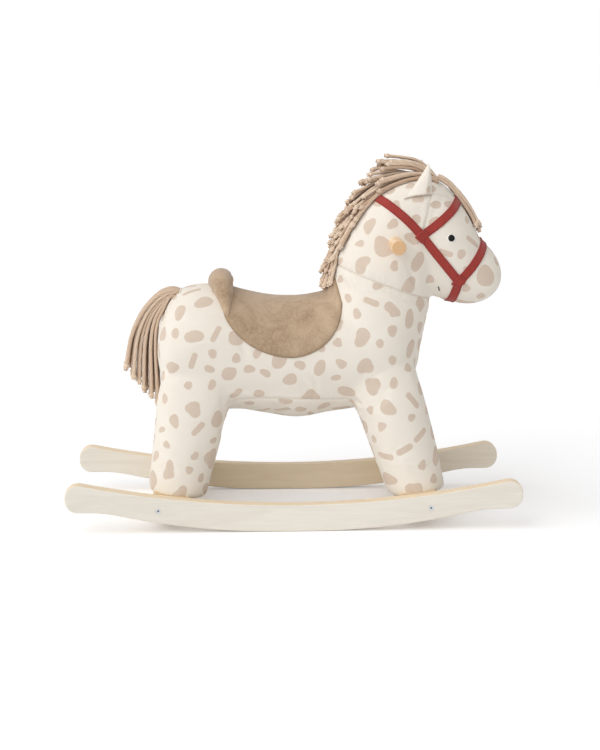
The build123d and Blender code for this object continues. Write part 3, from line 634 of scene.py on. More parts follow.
def sew_cover(cover):
    """Draws the seams in, puckers the cloth beside them and stores how near each point is to a seam, for the
    painted shade along it.
    """
    points = coords(cover)
    normal = vertex_normals(cover)
    x, y, z = points.T
    distance = neck_seam_distance(points)
    ripple = np.sin(x * 0.55 + 2.0 * np.sin(x * 0.13)) * 0.5 + 0.5
    move = -(1.2 * np.exp(-(distance / 2.2) ** 2) + 0.6 * ripple * np.exp(-(distance / 8.0) ** 2))
    move += 0.6 * np.exp(-((distance - 12.0) / 8.0) ** 2)
    seam = np.exp(-(distance / 1.1) ** 2)
    drawn = []
    for name, line in EDGE_SEAMS.items():
        drawn.append((edge_seam_distance(points, normal, line), 1.0, SEAM_LOOKS.get(name, CREASE_LOOK)))
    # centre seam down the rump and the back of the hind legs
    back = (x < -195) & (z > 90) & (z < 372)
    line_y = np.where(z > 245, 0.0, np.sign(y) * 72.0)
    fade = np.clip(np.abs(z - 245) / 25, 0, 1)
    drawn.append((np.where(back, np.abs(y - line_y), FAR), fade, CENTRE_LOOK))
    # chest seam
    drawn.append((np.where(on_chest(points), np.abs(y), FAR), 1.0, CENTRE_LOOK))
    for d, fade, (depth, tint) in drawn:
        move -= depth * fade * np.exp(-(d / 2.4) ** 2)
        seam = np.maximum(seam, tint * fade * np.exp(-(d / 0.9) ** 2))
    # slight unevenness of the stuffing
    move += 0.9 * (np.sin(x * 0.041 + 1.3) * np.sin(y * 0.052 + 0.4) * np.sin(z * 0.047))
    write_coords(cover, points + normal * move[:, None])
    set_attribute(cover, "seam", seam)


# eye and mouth, with no spot on them
FACE_MARKS = [(256, 58, 465), (240, 50, 381)]
MARK_GAP = 9
SPOT_GAP = 9.5
SPOT_TRIES = 9000
SPOT_SEED = 11
# up to these shares of the draws a spot is a bar, a small one or a middle one
BARS, SMALL, MIDDLE = 0.10, 0.38, 0.80


def spot_layout(points, normals, rng):
    """Scattered irregular spots: middle, frame, half sizes, lobes."""
    order = rng.permutation(len(points))
    chosen = []
    middles = np.zeros((0, 3))
    reach = np.zeros(0)
    for index in order[:SPOT_TRIES]:
        p = points[index]
        kind = rng.random()
        if kind < BARS:
            long, short = rng.uniform(13, 17), rng.uniform(4.4, 5.8)
        elif kind < SMALL:
            long = rng.uniform(7.0, 9.5)
            short = long * rng.uniform(0.74, 0.95)
        elif kind < MIDDLE:
            long = rng.uniform(11.5, 15.5)
            short = long * rng.uniform(0.62, 0.88)
        else:
            long = rng.uniform(16.0, 20.0)
            short = long * rng.uniform(0.60, 0.80)
        size = (long + short) / 2
        marks = [(x, math.copysign(y, p[1]), z) for x, y, z in FACE_MARKS]
        if min(math.dist(p, mark) for mark in marks) < long + MARK_GAP:
            continue
        if len(middles):
            gap = np.linalg.norm(middles - p, axis=1) - reach - size
            if gap.min() < SPOT_GAP:
                continue
        middles = np.vstack([middles, p])
        reach = np.append(reach, size)
        n = normals[index]
        a = np.cross(n, rng.normal(size=3))
        a /= np.linalg.norm(a)
        lobes = rng.uniform((0.03, 0.02), (0.22, 0.12))
        bud = None
        if kind >= SMALL and rng.random() < 0.55:
            turn = rng.uniform(0, 6.28)
            bud_size = short * rng.uniform(0.48, 0.72)
            bud = (0.78 * long * math.cos(turn), 0.78 * short * math.sin(turn), bud_size)
        phase = rng.uniform(0, 6.28, 3)
        chosen.append((p, n, a, np.cross(n, a), long, short, phase, lobes, kind >= BARS, bud))
    return chosen


def panel_of(points):
    """Which cut panel of cloth a point lies on: 0 the side, 1 the head, 2 the belly."""
    head = ((points - NECK_SEAM[0]) @ NECK_SEAM[1] > 0) & (points[:, 0] > 40) & (points[:, 2] > 340)
    edge_x, edge_z = np.array(EDGE_SEAMS["belly"]).T
    belly = (np.abs(points[:, 0]) < 104) & (points[:, 2] < np.interp(points[:, 0], edge_x, edge_z))
    return np.where(head, 1, np.where(belly, 2, 0))


def print_spots(cover):
    """Stores how far each point of the cloth lies outside the nearest printed spot."""
    points = coords(cover)
    normals = vertex_normals(cover)
    rng = np.random.default_rng(SPOT_SEED)
    field = np.full(len(points), NO_SPOT)
    panel = panel_of(points)
    for p, n, a, b, long, short, phase, lobes, blob, bud in spot_layout(points, normals, rng):
        delta = points - p
        near = np.einsum("ij,ij->i", delta, delta) < (long * 2.2) ** 2
        index = np.nonzero(near)[0]
        facing = normals[index] @ n > 0.1
        index = index[facing & (panel[index] == panel_of(p[None])[0])]
        d = points[index] - p
        drop = d @ n
        u, v = d @ a, d @ b
        stretch = 1.0 + np.abs(drop) / (np.sqrt(u * u + v * v) + 4.0) * 0.5
        u, v = u * stretch, v * stretch
        if blob:
            theta = np.arctan2(v / short, u / long)
            wave = 1.0 + lobes[0] * np.cos(2 * theta + phase[0])
            wave = wave + lobes[1] * np.cos(3 * theta + phase[1])
            value = (np.sqrt((u / long) ** 2 + (v / short) ** 2) / wave - 1.0) * short
        else:
            along = np.maximum(np.abs(u) - (long - short), 0.0)
            value = np.sqrt(along ** 2 + v ** 2) - short
        if bud:
            second = np.hypot(u - bud[0], v - bud[1]) - bud[2]
            join = np.clip(0.5 + (second - value) / 10.0, 0.0, 1.0)
            value = second * (1 - join) + value * join - 5.0 * join * (1 - join)
        field[index] = np.minimum(field[index], value)
    set_attribute(cover, "spot", field)


cover = make_cover()
sew_cover(cover)
print_spots(cover)
cover_points = coords(cover)
cover_faces = [tuple(p.vertices) for p in cover.data.polygons]
skin = BVHTree.FromPolygons([tuple(p) for p in cover_points], cover_faces)
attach(cover, "horse")
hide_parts("torso", "head", "leg_front_left", "leg_front_right", "leg_rear_left", "leg_rear_right")


def cast(origin, direction):
    """First outer skin point from inside the stuffing along a direction, with its normal."""
    hit, normal, _, _ = skin.ray_cast(Vector(origin), Vector(direction).normalized())
    if hit is None:
        return None
    if normal.dot(Vector(direction)) < 0:
        normal = -normal
    return np.array(hit), np.array(normal)


def nearest(point):
    hit, normal, _, _ = skin.find_nearest(Vector(point))
    return np.array(hit), np.array(normal)


# Saddle: suede seat with rounded flaps lying on the back
def arc_through(a, b, c, count):
    """Points of the circle through three side-view points, from the first to the last."""
    (ax, ay), (bx, by), (cx, cy) = a, b, c
    d = 2 * (ax * (by - cy) + bx * (cy - ay) + cx * (ay - by))
    ux = ((ax**2 + ay**2) * (by - cy) + (bx**2 + by**2) * (cy - ay) + (cx**2 + cy**2) * (ay - by)) / d
    uy = ((ax**2 + ay**2) * (cx - bx) + (bx**2 + by**2) * (ax - cx) + (cx**2 + cy**2) * (bx - ax)) / d
    angles = [math.atan2(y - uy, x - ux) for x, y in (a, b, c)]
    radius = math.hypot(ax - ux, ay - uy)
    turn = (angles[2] - angles[0]) % (2 * math.pi)
    if (angles[1] - angles[0]) % (2 * math.pi) > turn:
        turn -= 2 * math.pi
    steps = [angles[0] + turn * k / count for k in range(count + 1)]
    return [(ux + radius * math.cos(a), uy + radius * math.sin(a)) for a in steps]


def make_saddle():
    rim = arc_through((-110.5, 341), (-72, 299.5), (-2, 277.5), 32)
    rim += arc_through((-2, 277.5), (53, 301), (80, 360), 34)[1:]
    axis_z = 262.0
    across = 60
    top = []
    for k, (bx, bz) in enumerate(rim):
        share = k / (len(rim) - 1)
        lean = math.radians(-17.0 * max(0.0, 1 - share / 0.35) - 14.5 * max(0.0, (share - 0.55) / 0.45))
        d = np.array([math.sin(lean), 0.0, math.cos(lean)])
        origin = np.array([bx - d[0] / d[2] * (bz - axis_z), 0.0, axis_z])
        target = (np.array([bx, 0, bz]) - origin) @ d
        # the angle at which the back falls to the height of the rim
        low, high = 0.0, math.radians(100)
        for _ in range(26):
            middle = (low + high) / 2
            hit, _n = cast(origin, d * math.cos(middle) + np.array([0, math.sin(middle), 0]))
            if (hit - origin) @ d > target:
                low = middle
            else:
                high = middle
        row = []
        for j in range(across + 1):
            angle = low * (-1 + 2 * j / across)
            row.append(cast(origin, d * math.cos(angle) + np.array([0, math.sin(angle), 0])))
        top.append(row)
    # distance to the border decides the thickness, so that the edge rolls over
    border = [row[j][0] for row in top for j in (0, -1)]
    border += [hit for row in (top[0], top[-1]) for hit, _n in row]
    border = np.array(border)
    places = [place for row in top for place in row]
    gaps = [np.linalg.norm(border - hit, axis=1).min() for hit, _n in places]
    verts = [hit + n * (1.2 + 3.0 * min(1.0, gap / 7.0) ** 0.5) for (hit, n), gap in zip(places, gaps)]
    verts += [hit - n * 1.2 for hit, n in places]
    # rim marks painted shade along the rolled-over border
    rims = [math.exp(-(gap / 2.2) ** 2) for gap in gaps] * 2
    saddle = make_object("saddle_seat_suede", verts, sheet_faces(len(rim), across + 1), suede)
    set_attribute(saddle, "rim", rims)
    face_outward(saddle, 0.00001)
    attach(saddle, "horse")
    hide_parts("saddle_seat")


def make_cantle():
    # angle from the top of the back and radius of the roll there
    shape = [(0.0, 21.2), (8.0, 20.6), (16.0, 19.0), (24.0, 16.4), (32.0, 13.2), (39.0, 9.9), (45.0, 7.0),
             (50.0, 4.6), (53.5, 2.4)]
    shape = [(-a, r) for a, r in reversed(shape[1:])] + shape
    end = shape[-1][0]
    around = 90
    verts, rims = [], []
    dense = catmull(shape, 3)
    for angle, radius in dense:
        share = min(1.0, abs(angle) / end)
        swing = math.radians(angle)
        x = -118.0 + 12.0 * share ** 1.2
        origin = np.array([x, 0.0, 280.0])
        out = np.array([0.0, math.sin(swing), math.cos(swing)])
        hit, _n = cast(origin, out)
        middle = hit + out * (radius * 0.27)
        for i in range(around):
            a = 2 * math.pi * i / around
            c, s = math.cos(a), math.sin(a)
            # full toward the back, drawn in where the front edge is sewn to the seat
            seam = math.exp(-((a - 0.55) / 0.07) ** 2)
            pull = 1.0 - 0.10 * math.exp(-((a - 6.0) / 0.30) ** 2) - 0.035 * seam
            verts.append(middle + (np.array([1.0, 0, 0]) * c * 0.98 + out * s * 1.04) * radius * pull)
            # rim marks painted shade in the drawn-in crease and along the seam
            rims.append(0.9 * math.exp(-((a - 6.0) / 0.14) ** 2) + 0.4 * seam)
    cantle = make_object("saddle_cantle_roll", verts, tube_faces(len(dense), around), suede)
    stuff(cantle, np.clip(np.array(rims) + 0.05, 0, 1), 1.2)
    set_attribute(cantle, "rim", rims)
    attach(cantle, "horse")
    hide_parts("saddle_cantle")


make_saddle()
make_cantle()


# Cords: twisted cotton yarn for the mane, the forelock and the tail
def cord_girth(left):
    """Share of a cord's radius at a distance from its end: a knot, then a short frayed brush."""
    knot = 0.55 * math.exp(-((left - 5.6) / 2.3) ** 2)
    waist = -0.20 * math.exp(-((left - 2.2) / 0.8) ** 2)
    brush = 0.16 * max(0.0, 1.0 - left / 1.8)
    return 1.0 + knot + waist + brush


def cord_mesh(paths, name, radius, seed):
    """Round cotton cords along their routes, each with a knotted and frayed end."""
    rng = random.Random(seed)
    verts, faces, tones, plies = [], [], [], []
    around = 12
    end_steps = np.linspace(0.0, 10.0, 13)[:, None]
    for path in paths:
        p = np.asarray(path, float)
        tone = rng.uniform(0.0, 1.0)
        spin = rng.uniform(0, 6.28)
        heading = (p[-1] - p[-2]) / np.linalg.norm(p[-1] - p[-2])
        p = np.vstack([p[:-1], p[-1] + heading * end_steps])
        tangents = np.gradient(p, axis=0)
        tangents /= np.linalg.norm(tangents, axis=1)[:, None]
        side = np.cross(tangents[0], [0.3, 0.9, 0.2])
        travelled = np.concatenate([[0], np.cumsum(np.linalg.norm(np.diff(p, axis=0), axis=1))])
        total = travelled[-1]
        base = len(verts)
        for k, (point, t) in enumerate(zip(p, tangents)):
            side = side - t * (side @ t)
            side /= np.linalg.norm(side)
            other = np.cross(t, side)
            left = total - travelled[k]
            r = radius * (1.0 + 0.03 * math.sin(travelled[k] * 0.3 + spin)) * cord_girth(left)
            for i in range(around):
                a = 2 * math.pi * i / around
                lobe = math.cos(4 * (a - travelled[k] * 0.11) + spin)
                rag = 1.0 + (0.22 * rng.uniform(-1, 1) if left < 1.2 else 0.0)
                out = side * math.cos(a) + other * math.sin(a)
                verts.append(point + out * r * (1 + 0.025 * lobe) * rag)
                tones.append(min(1.0, tone + (0.5 if left < 9.0 else 0.0)))
                plies.append(0.5 + 0.5 * lobe)
        faces += [tuple(base + i for i in f) for f in tube_faces(len(p), around)]
    obj = make_object(name, verts, faces, cord)
    set_attribute(obj, "tone", tones)
    set_attribute(obj, "ply", plies)
    return obj


# the crest of the neck in side view, from the poll down to the saddle
CREST = catmull([(246, 556), (228, 561), (205, 558), (180, 551), (155, 540), (132, 524), (112, 503),
                 (96, 480), (83, 455), (73, 428), (66, 408), (59, 394), (50, 385)], 8)
crest_run = np.concatenate([[0], np.cumsum(np.linalg.norm(np.diff(CREST, axis=0), axis=1))])


def crest_at(run):
    """Crest point, its direction down the neck and its outward direction, at a distance from the poll."""
    run = float(np.clip(run, 0, crest_run[-1] - 0.5))
    x, z = np.interp(run, crest_run, CREST[:, 0]), np.interp(run, crest_run, CREST[:, 1])
    x2, z2 = np.interp(run + 0.5, crest_run, CREST[:, 0]), np.interp(run + 0.5, crest_run, CREST[:, 1])
    t = np.array([x2 - x, 0, z2 - z])
    t /= np.linalg.norm(t)
    return np.array([x, 0, z]), t, np.array([t[2], 0, -t[0]])


def on_neck(run, angle, height):
    """A place over the skin of the neck, at an angle from the crest."""
    point, _t, out = crest_at(run)
    origin = point - out * 46.0
    hit, n = cast(origin, out * math.cos(angle) + np.array([0, math.sin(angle), 0]))
    return hit + n * height


# rows of cords on each side of the crest: angle from its top, share of the full height, spacing of the roots,
# least and most length
MANE_ROWS = [(4.5, 1.0, 17.0, 49, 76), (11.5, 0.82, 13.0, 60, 88), (20.0, 0.50, 15.0, 76, 104),
             (30.0, 0.20, 23.0, 88, 118)]
# height of the cords' ends over the crest, by distance from the poll
CROWN = ([75, 95, 106, 127, 163, 198, 216, 240, 262], [47, 40, 35, 27.5, 20.5, 16.5, 12, 7, 4])


def make_mane():
    """Cords sewn along the crest in rows, lapping over each other like shingles down the neck."""
    rng = random.Random(21)
    paths = []
    total = crest_run[-1]
    for lane, share, spacing, least, most in MANE_ROWS:
        for sign in (1, -1):
            start = 3.0 + rng.uniform(0, 0.5) * spacing
            while start < total - 70:
                length = rng.uniform(least, most)
                length = min(length, total - start - rng.uniform(2, 9) - 14 * (1 - share))
                low = 3.0
                high = max(low + 2.0, (np.interp(start + length + 9, *CROWN) - 6.5) * share)
                flick = rng.uniform(1.0, 6.0) * (0.4 + 0.6 * share)
                root = math.radians(sign * lane * 0.9 + rng.uniform(-1.5, 1.5))
                spread = 1.15 + 0.5 * (start / total) ** 2
                fall = math.radians(sign * lane * spread + rng.uniform(-5, 5))
                rise = 0.62 * share
                path = []
                for k in range(9):
                    t = k / 8
                    height = low + (high - low) * (rise * math.sin(t * math.pi / 2) + (1 - rise) * t)
                    height += flick * max(0.0, (t - 0.7) / 0.3) ** 2
                    path.append(on_neck(start + length * t, root + (fall - root) * t ** 1.3, height))
                paths.append(catmull(path, 4))
                start += spacing * (0.72 + 0.7 * start / total) * rng.uniform(0.85, 1.15)
    mane = cord_mesh(paths, "mane_cords", 2.85, 5)
    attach(mane, "horse")
    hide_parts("mane")


def clear_of_skin(points, gap):
    """Moves route points out to at least a given distance from the cloth."""
    out = []
    for point in points:
        hit, n = nearest(point)
        height = (np.asarray(point) - hit) @ n
        out.append(hit + n * gap if height < gap else np.asarray(point, float))
    return out


def make_forelock():
    rng = random.Random(8)
    paths = []
    # side offset, end in side view and distance from the skin
    cords = [(-13.0, (296, 484), 4.6), (-6.0, (301, 476), 4.8), (1.0, (298, 486), 4.6),
             (8.0, (294, 491), 4.6), (-10.0, (299, 488), 9.0), (-1.0, (300, 481), 9.4)]
    for side, end, gap in cords:
        route = [(236, 548), (245, 553), (255, 549), (264, 539), (274, 523), (284, 504),
                 (end[0] - 4, end[1] + 9), end]
        bent = [(x + rng.uniform(-1, 1), side * (0.55 + 0.09 * k) + rng.uniform(-1, 1), z)
                for k, (x, z) in enumerate(route)]
        paths.append(catmull(clear_of_skin(bent, gap), 6))
    forelock = cord_mesh(paths, "forelock_cords", 3.0, 9)
    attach(forelock, "horse")
    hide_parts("forelock")


# side view of the outermost and the innermost cords of the tail
TAIL_OUTER = np.array([(-181, 371), (-195, 376.5), (-212, 373), (-229, 361), (-245, 342), (-257, 320),
                       (-266, 296), (-271, 272), (-274, 252)], float)
TAIL_INNER = np.array([(-185, 362), (-195, 363), (-205, 355), (-214, 342), (-221, 326), (-225, 305),
                       (-226, 276), (-225, 236), (-224, 194)], float)


def make_tail():
    rng = random.Random(14)
    paths = []
    for depth in np.linspace(0, 1, 6):
        side_view = TAIL_OUTER * (1 - depth) + TAIL_INNER * depth
        for lane in (-1.0, -0.5, 0.0, 0.5, 1.0):
            shift = lane + rng.uniform(-0.12, 0.12)
            drop = rng.uniform(-4, 10)
            sway = rng.uniform(-3, 3)
            curve = []
            for k, (x, z) in enumerate(side_view):
                t = k / (len(side_view) - 1)
                curve.append((x + sway * t * t, shift * (16 + 10 * t), z + drop * t * t))
            paths.append(catmull(curve[:1] + clear_of_skin(curve[1:], 3.6), 6))
    tail = cord_mesh(paths, "tail_cords", 3.05, 17)
    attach(tail, "tail")
    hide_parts("tail")


def make_tail_welt():
    """Piped seam across the top of the rump, where the tail is sewn in."""
    path = []
    last = 24
    for k in range(last + 1):
        hit, n = cast((-183.5, -27.0 + 54.0 * k / last, 300.0), (0, 0, 1))
        path.append(hit + n * 0.5)
    around = 10
    verts = []
    for k, point in enumerate(path):
        t = path[min(k + 1, last)] - path[max(k - 1, 0)]
        t /= np.linalg.norm(t)
        side = np.cross(t, [0.0, 0.0, 1.0])
        side /= np.linalg.norm(side)
        radius = 1.3 * min(1.0, 0.3 + min(k, last - k) * 0.35)
        for i in range(around):
            a = 2 * math.pi * i / around
            verts.append(point + (side * math.cos(a) + np.cross(side, t) * math.sin(a)) * radius)
    welt = make_object("tail_seam_welt", verts, tube_faces(len(path), around), cotton)
    set_attribute(welt, "spot", np.full(len(verts), NO_SPOT))
    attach(welt, "horse")
    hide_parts("tail_tab")


make_mane()
make_forelock()
make_tail()
make_tail_welt()


# Bridle: webbing straps lying on the head, with stitched overlaps
STRAP = 14.4
# where the straps cross on the cheek, and a place inside the head
BROW = np.array([208.0, 0.0, 469.0])
MUZZLE = np.array([270.0, 0.0, 394.0])
HEAD_MIDDLE = np.array([215.0, 0, 455.0])
# place across a strap and share of its thickness
STRAP_SHAPE = [(-1.0, -0.3), (-1.0, 0.55), (-0.94, 0.9), (-0.8, 1.0), (-0.4, 1.0), (0.0, 1.0), (0.4, 1.0),
               (0.8, 1.0), (0.94, 0.9), (1.0, 0.55), (1.0, -0.3), (0.0, -0.3)]
# place along a stitch, share of its radius and how far it stands out
STITCH_SHAPE = [(-0.5, 0.3, -0.5), (-0.38, 0.9, 0.0), (0.0, 1.0, 0.25), (0.38, 0.9, 0.0), (0.5, 0.3, -0.5)]


def loop_line(joint, end, bow=0.0, count=44):
    """Centre line over the head from the left joint through an outline point to the right joint."""
    end = np.array([end[0], 0.0, end[1]])
    d = (end - joint) / np.linalg.norm(end - joint)
    cross = np.array([d[2], 0.0, -d[0]])
    line = []
    for k in range(count + 1):
        angle = math.radians(-90 + 180 * k / count)
        origin = joint + cross * bow * math.sin(2 * abs(angle))
        hit = cast(origin, d * math.cos(angle) + np.array([0, math.sin(angle), 0]))
        line.append(hit[0])
    return np.array(line)


def side_line(a, b, sign, count=22):
    """Line on one side of the head between two side-view places."""
    return np.array([cast(a + (b - a) * k / count, (0, sign, 0))[0] for k in range(count + 1)])


def resample(line, step):
    run = np.concatenate([[0], np.cumsum(np.linalg.norm(np.diff(line, axis=0), axis=1))])
    count = max(3, int(run[-1] / step))
    grid = np.linspace(0, run[-1], count + 1)
    return np.stack([np.interp(grid, run, line[:, i]) for i in range(3)], 1), grid


def ribbon(line, width, rise, thickness, name):
    """A woven strap with rounded edges that follows the skin, and its rows of places."""
    line, run = resample(line, 3.0)
    for _ in range(3):
        line[1:-1] = line[1:-1] * 0.5 + (line[:-2] + line[2:]) * 0.25
    tangents = np.gradient(line, axis=0)
    tangents /= np.linalg.norm(tangents, axis=1)[:, None]
    verts, uvs, rows = [], [], []
    for point, t, s in zip(line, tangents, run):
        hit, n = nearest(point)
        n = n if n @ (point - HEAD_MIDDLE) > 0 else -n
        wide = np.cross(n, t)
        wide /= np.linalg.norm(wide)
        for u, h in STRAP_SHAPE:
            foot, m = nearest(hit + wide * u * width / 2)
            m = m if m @ n > 0 else -m
            verts.append(foot + m * (rise + thickness * h))
            uvs.append((s * MM, u * width / 2 * MM))
        rows.append((hit, n, wide, t))
    obj = make_object(name, verts, tube_faces(len(line), len(STRAP_SHAPE)), webbing)
    layer = obj.data.uv_layers.new(name="uv")
    for loop in obj.data.loops:
        layer.data[loop.index].uv = uvs[loop.vertex_index]
    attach(obj, "horse")
    return obj, rows


def stitches(centres, name, material, length=2.6, radius=0.42):
    """Short rounded threads lying on a surface: (point, direction, normal) each."""
    verts, faces = [], []
    around = 6
    for point, t, n in centres:
        side = np.cross(n, t)
        base = len(verts)
        for along, r, sink in STITCH_SHAPE:
            c = point + t * along * length + n * radius * (0.3 + sink)
            for i in range(around):
                a = 2 * math.pi * i / around
                verts.append(c + (side * math.cos(a) + n * math.sin(a)) * radius * r)
        faces += [tuple(base + i for i in f) for f in tube_faces(len(STITCH_SHAPE), around)]
    obj = make_object(name, verts, faces, material)
    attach(obj, "horse")
    return obj


def make_bridle():
    strap_rows = {}
    loops = (
        ("crown_strap", BROW, (122, 537), 6.0, None),
        ("browband_strap", BROW, (276, 527), 3.0, "browband"),
        ("noseband_strap", MUZZLE, (316, 455), 3.0, "noseband"),
        ("chin_strap_web", MUZZLE, (260, 352), 0.0, "chin_strap"),
    )
    for name, joint, end, bow, node in loops:
        strap, strap_rows[name] = ribbon(loop_line(joint, end, bow), STRAP, 0.3, 1.8, name)
        if node:
            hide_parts(node)
    toward = (MUZZLE - BROW) / np.linalg.norm(MUZZLE - BROW)
    for sign, side in SIDES:
        name = f"cheek_strap_{side}"
        line = side_line(BROW - toward * 8, MUZZLE + toward * 8, sign)
        strap, strap_rows[name] = ribbon(line, STRAP, 0.9, 1.8, name)
        if side == "left":
            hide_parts("cheek_strap")
    # square overlaps at the joints
    thread = []
    overlaps = (("brow", BROW, np.array([0.68, 0.0, 0.73])), ("muzzle", MUZZLE, np.array([0.66, 0.0, 0.75])))
    for sign, side in SIDES:
        for tag, joint, direction in overlaps:
            line = side_line(joint - direction * 9.5, joint + direction * 9.5, sign, 10)
            _tab, rows = ribbon(line, STRAP + 0.6, 2.4, 1.5, f"{tag}_overlap_{side}")
            last = len(rows) - 2
            for index, (hit, n, wide, t) in enumerate(rows):
                if index in (1, last):
                    for u in (-0.66, -0.33, 0.0, 0.33, 0.66):
                        thread.append((hit + wide * u * STRAP / 2 + n * 3.9, wide, n))
                elif 1 < index < last:
                    for u in (-0.78, 0.78):
                        thread.append((hit + wide * u * STRAP / 2 + n * 3.9, t, n))
    # a row of stitches along both edges of each strap
    for name, rows in strap_rows.items():
        lift = 2.75 if name.startswith("cheek") else 2.15
        for hit, n, wide, t in rows[1:-1]:
            for u in (-0.80, 0.80):
                foot, m = nearest(hit + wide * u * STRAP / 2)
                m = m if m @ n > 0 else -m
                thread.append((foot + m * lift, t, m))
    sewn = stitches(thread, "bridle_stitches", red_thread, 1.9, 0.28)


make_bridle()


# Ears: leaves of two layers of cloth, their front edge folded in along a crease
EAR_CREASE = 0.78
EAR_BOW = 2.4


def make_ear(sign, side):
    rear = [(178.5, 526.5), (190, 540), (201.5, 557), (211.8, 573), (216.5, 581), (218.5, 585)]
    front = [(225, 532.8), (225.5, 548), (224.5, 562), (222.8, 574), (220.5, 582), (219, 586)]
    rear, front = catmull(rear, 4), catmull(front, 4)
    rows, cols = len(rear), 17
    outer, inner = [], []
    for k in range(rows):
        v = k / (rows - 1)
        for j in range(cols):
            u = j / (cols - 1)
            x, z = rear[k] + (front[k] - rear[k]) * u
            z += EAR_BOW * math.sin(math.pi * u) * (1 - v) ** 2
            swell = math.sin(math.pi / 2 * min(1.0, u / EAR_CREASE)) ** 0.9
            fold = max(0.0, (u - EAR_CREASE) / (1 - EAR_CREASE))
            y = 42.5 + 3.0 * v + (8.5 * swell - 15.0 * fold) * (1 - v) ** 0.7
            rooted = max(0.0, 1.0 - v / 0.4) ** 2
            skin_y = abs(nearest((x, sign * 50.0, z))[0][1])
            y += rooted * max(0.0, skin_y + 0.4 - y)
            thick = 1.8 * math.sin(math.pi * u) ** 0.5 * (1 - 0.7 * v) + 0.5
            outer.append((x, y + thick, z))
            inner.append((x, y - thick, z))
    verts = [(x, sign * y, z) for x, y, z in outer + inner]
    ear = make_object(f"ear_{side}_cloth", verts, sheet_faces(rows, cols), cotton)
    face_outward(ear)
    subdivide(ear)
    points = coords(ear)
    field = np.linalg.norm(points - np.array([221.0, sign * 50.0, 543.0]), axis=1) - 6.5
    set_attribute(ear, "spot", field)
    # painted shade along the ear's base seam, where the ear meets the head
    along = np.clip((points[:, 0] - rear[0][0]) / (front[0][0] - rear[0][0]), 0, 1)
    base_line = rear[0][1] + 0.8 + (front[0][1] - rear[0][1]) * along + EAR_BOW * np.sin(math.pi * along)
    set_attribute(ear, "seam", 2.1 * np.exp(-((points[:, 2] - base_line) / 1.9) ** 2))
    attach(ear, "horse")
    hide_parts(f"ear_{side}")


for sign, side in SIDES:
    make_ear(sign, side)


# Eyes with a pale ring, and the mouth stitch
def dome(centre, normal, radius, height, name, material, rings=8, around=28):
    a, b = axes_across(normal)
    verts = []
    for k in range(rings + 1):
        t = k / rings * math.pi / 2
        for i in range(around):
            s = 2 * math.pi * i / around
            verts.append(centre + (a * math.cos(s) + b * math.sin(s)) * radius * max(math.cos(t), 0.02)
                         + normal * height * math.sin(t))
    base = len(verts)
    for i in range(around):
        s = 2 * math.pi * i / around
        verts.append(centre + (a * math.cos(s) + b * math.sin(s)) * radius * 0.9 - normal * 1.5)
    faces = tube_faces(rings + 1, around, False)
    faces.append(tuple(rings * around + i for i in range(around)))
    for i in range(around):
        j = (i + 1) % around
        faces.append((base + i, base + j, j, i))
    faces.append(tuple(base + i for i in range(around))[::-1])
    return make_object(name, verts, faces, material)


def torus(centre, normal, radius, thick, name, material):
    a, b = axes_across(normal)
    verts = []
    big, small = 36, 8
    for i in range(big):
        s = 2 * math.pi * i / big
        out = a * math.cos(s) + b * math.sin(s)
        for k in range(small):
            c = 2 * math.pi * k / small
            verts.append(centre + out * (radius + thick * math.cos(c)) + normal * thick * math.sin(c))
    faces = []
    for i in range(big):
        for k in range(small):
            i2, k2 = (i + 1) % big, (k + 1) % small
            faces.append((i * small + k, i2 * small + k, i2 * small + k2, i * small + k2))
    return make_object(name, verts, faces, material)


ring_thread = thread_material("eye_ring_thread", srgb(247, 243, 236), srgb(254, 252, 248))
for sign, side in SIDES:
    hit, n = cast((256.0, 0, 465.5), (0, sign, 0))
    pupil = dome(hit + n * 0.2, n, 5.7, 2.6, f"eye_{side}_button", eye_black)
    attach(pupil, "horse")
    if side == "left":
        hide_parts("eyes")
    ring = torus(hit + n * 0.3, n, 6.3, 0.85, f"eye_{side}_ring", ring_thread)
    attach(ring, "horse")
    mouth = []
    for k in range(3):
        hit, n = cast((239.0 + k * 0.8, 0, 383.5 - k * 2.4), (0, sign, 0))
        t = np.array([0.32, 0.0, -0.95])
        mouth.append((hit + n * 0.5, t - n * (t @ n), n))
    line = stitches(mouth, f"mouth_{side}_stitch", dark_thread, 3.8, 0.95)


# Handle: a turned birch bar with eased ends
def make_handle():
    low, high = (np.array(c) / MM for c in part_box("handle"))
    middle = (low + high) / 2
    radius, half = (high[0] - low[0]) / 2, (high[1] - low[1]) / 2
    ease = 1.8
    profile = [(half, r) for r in (0.15, 3.0, 6.0, radius - ease)]
    for k in range(1, 7):
        a = math.radians(15 * k)
        profile.append((half - ease + ease * math.cos(a), radius - ease + ease * math.sin(a)))
    profile += [(y, radius) for y in np.linspace(half - ease - 4, 0, 8)]
    profile += [(-y, r) for y, r in reversed(profile[:-1])]
    around = 48
    verts = []
    for y, r in profile:
        for i in range(around):
            a = 2 * math.pi * i / around
            verts.append(middle + np.array([r * math.cos(a), y, r * math.sin(a)]))
    bar = make_object("handle_bar", verts, tube_faces(len(profile), around), handle_birch)
    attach(bar, "horse")
    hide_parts("handle")


make_handle()


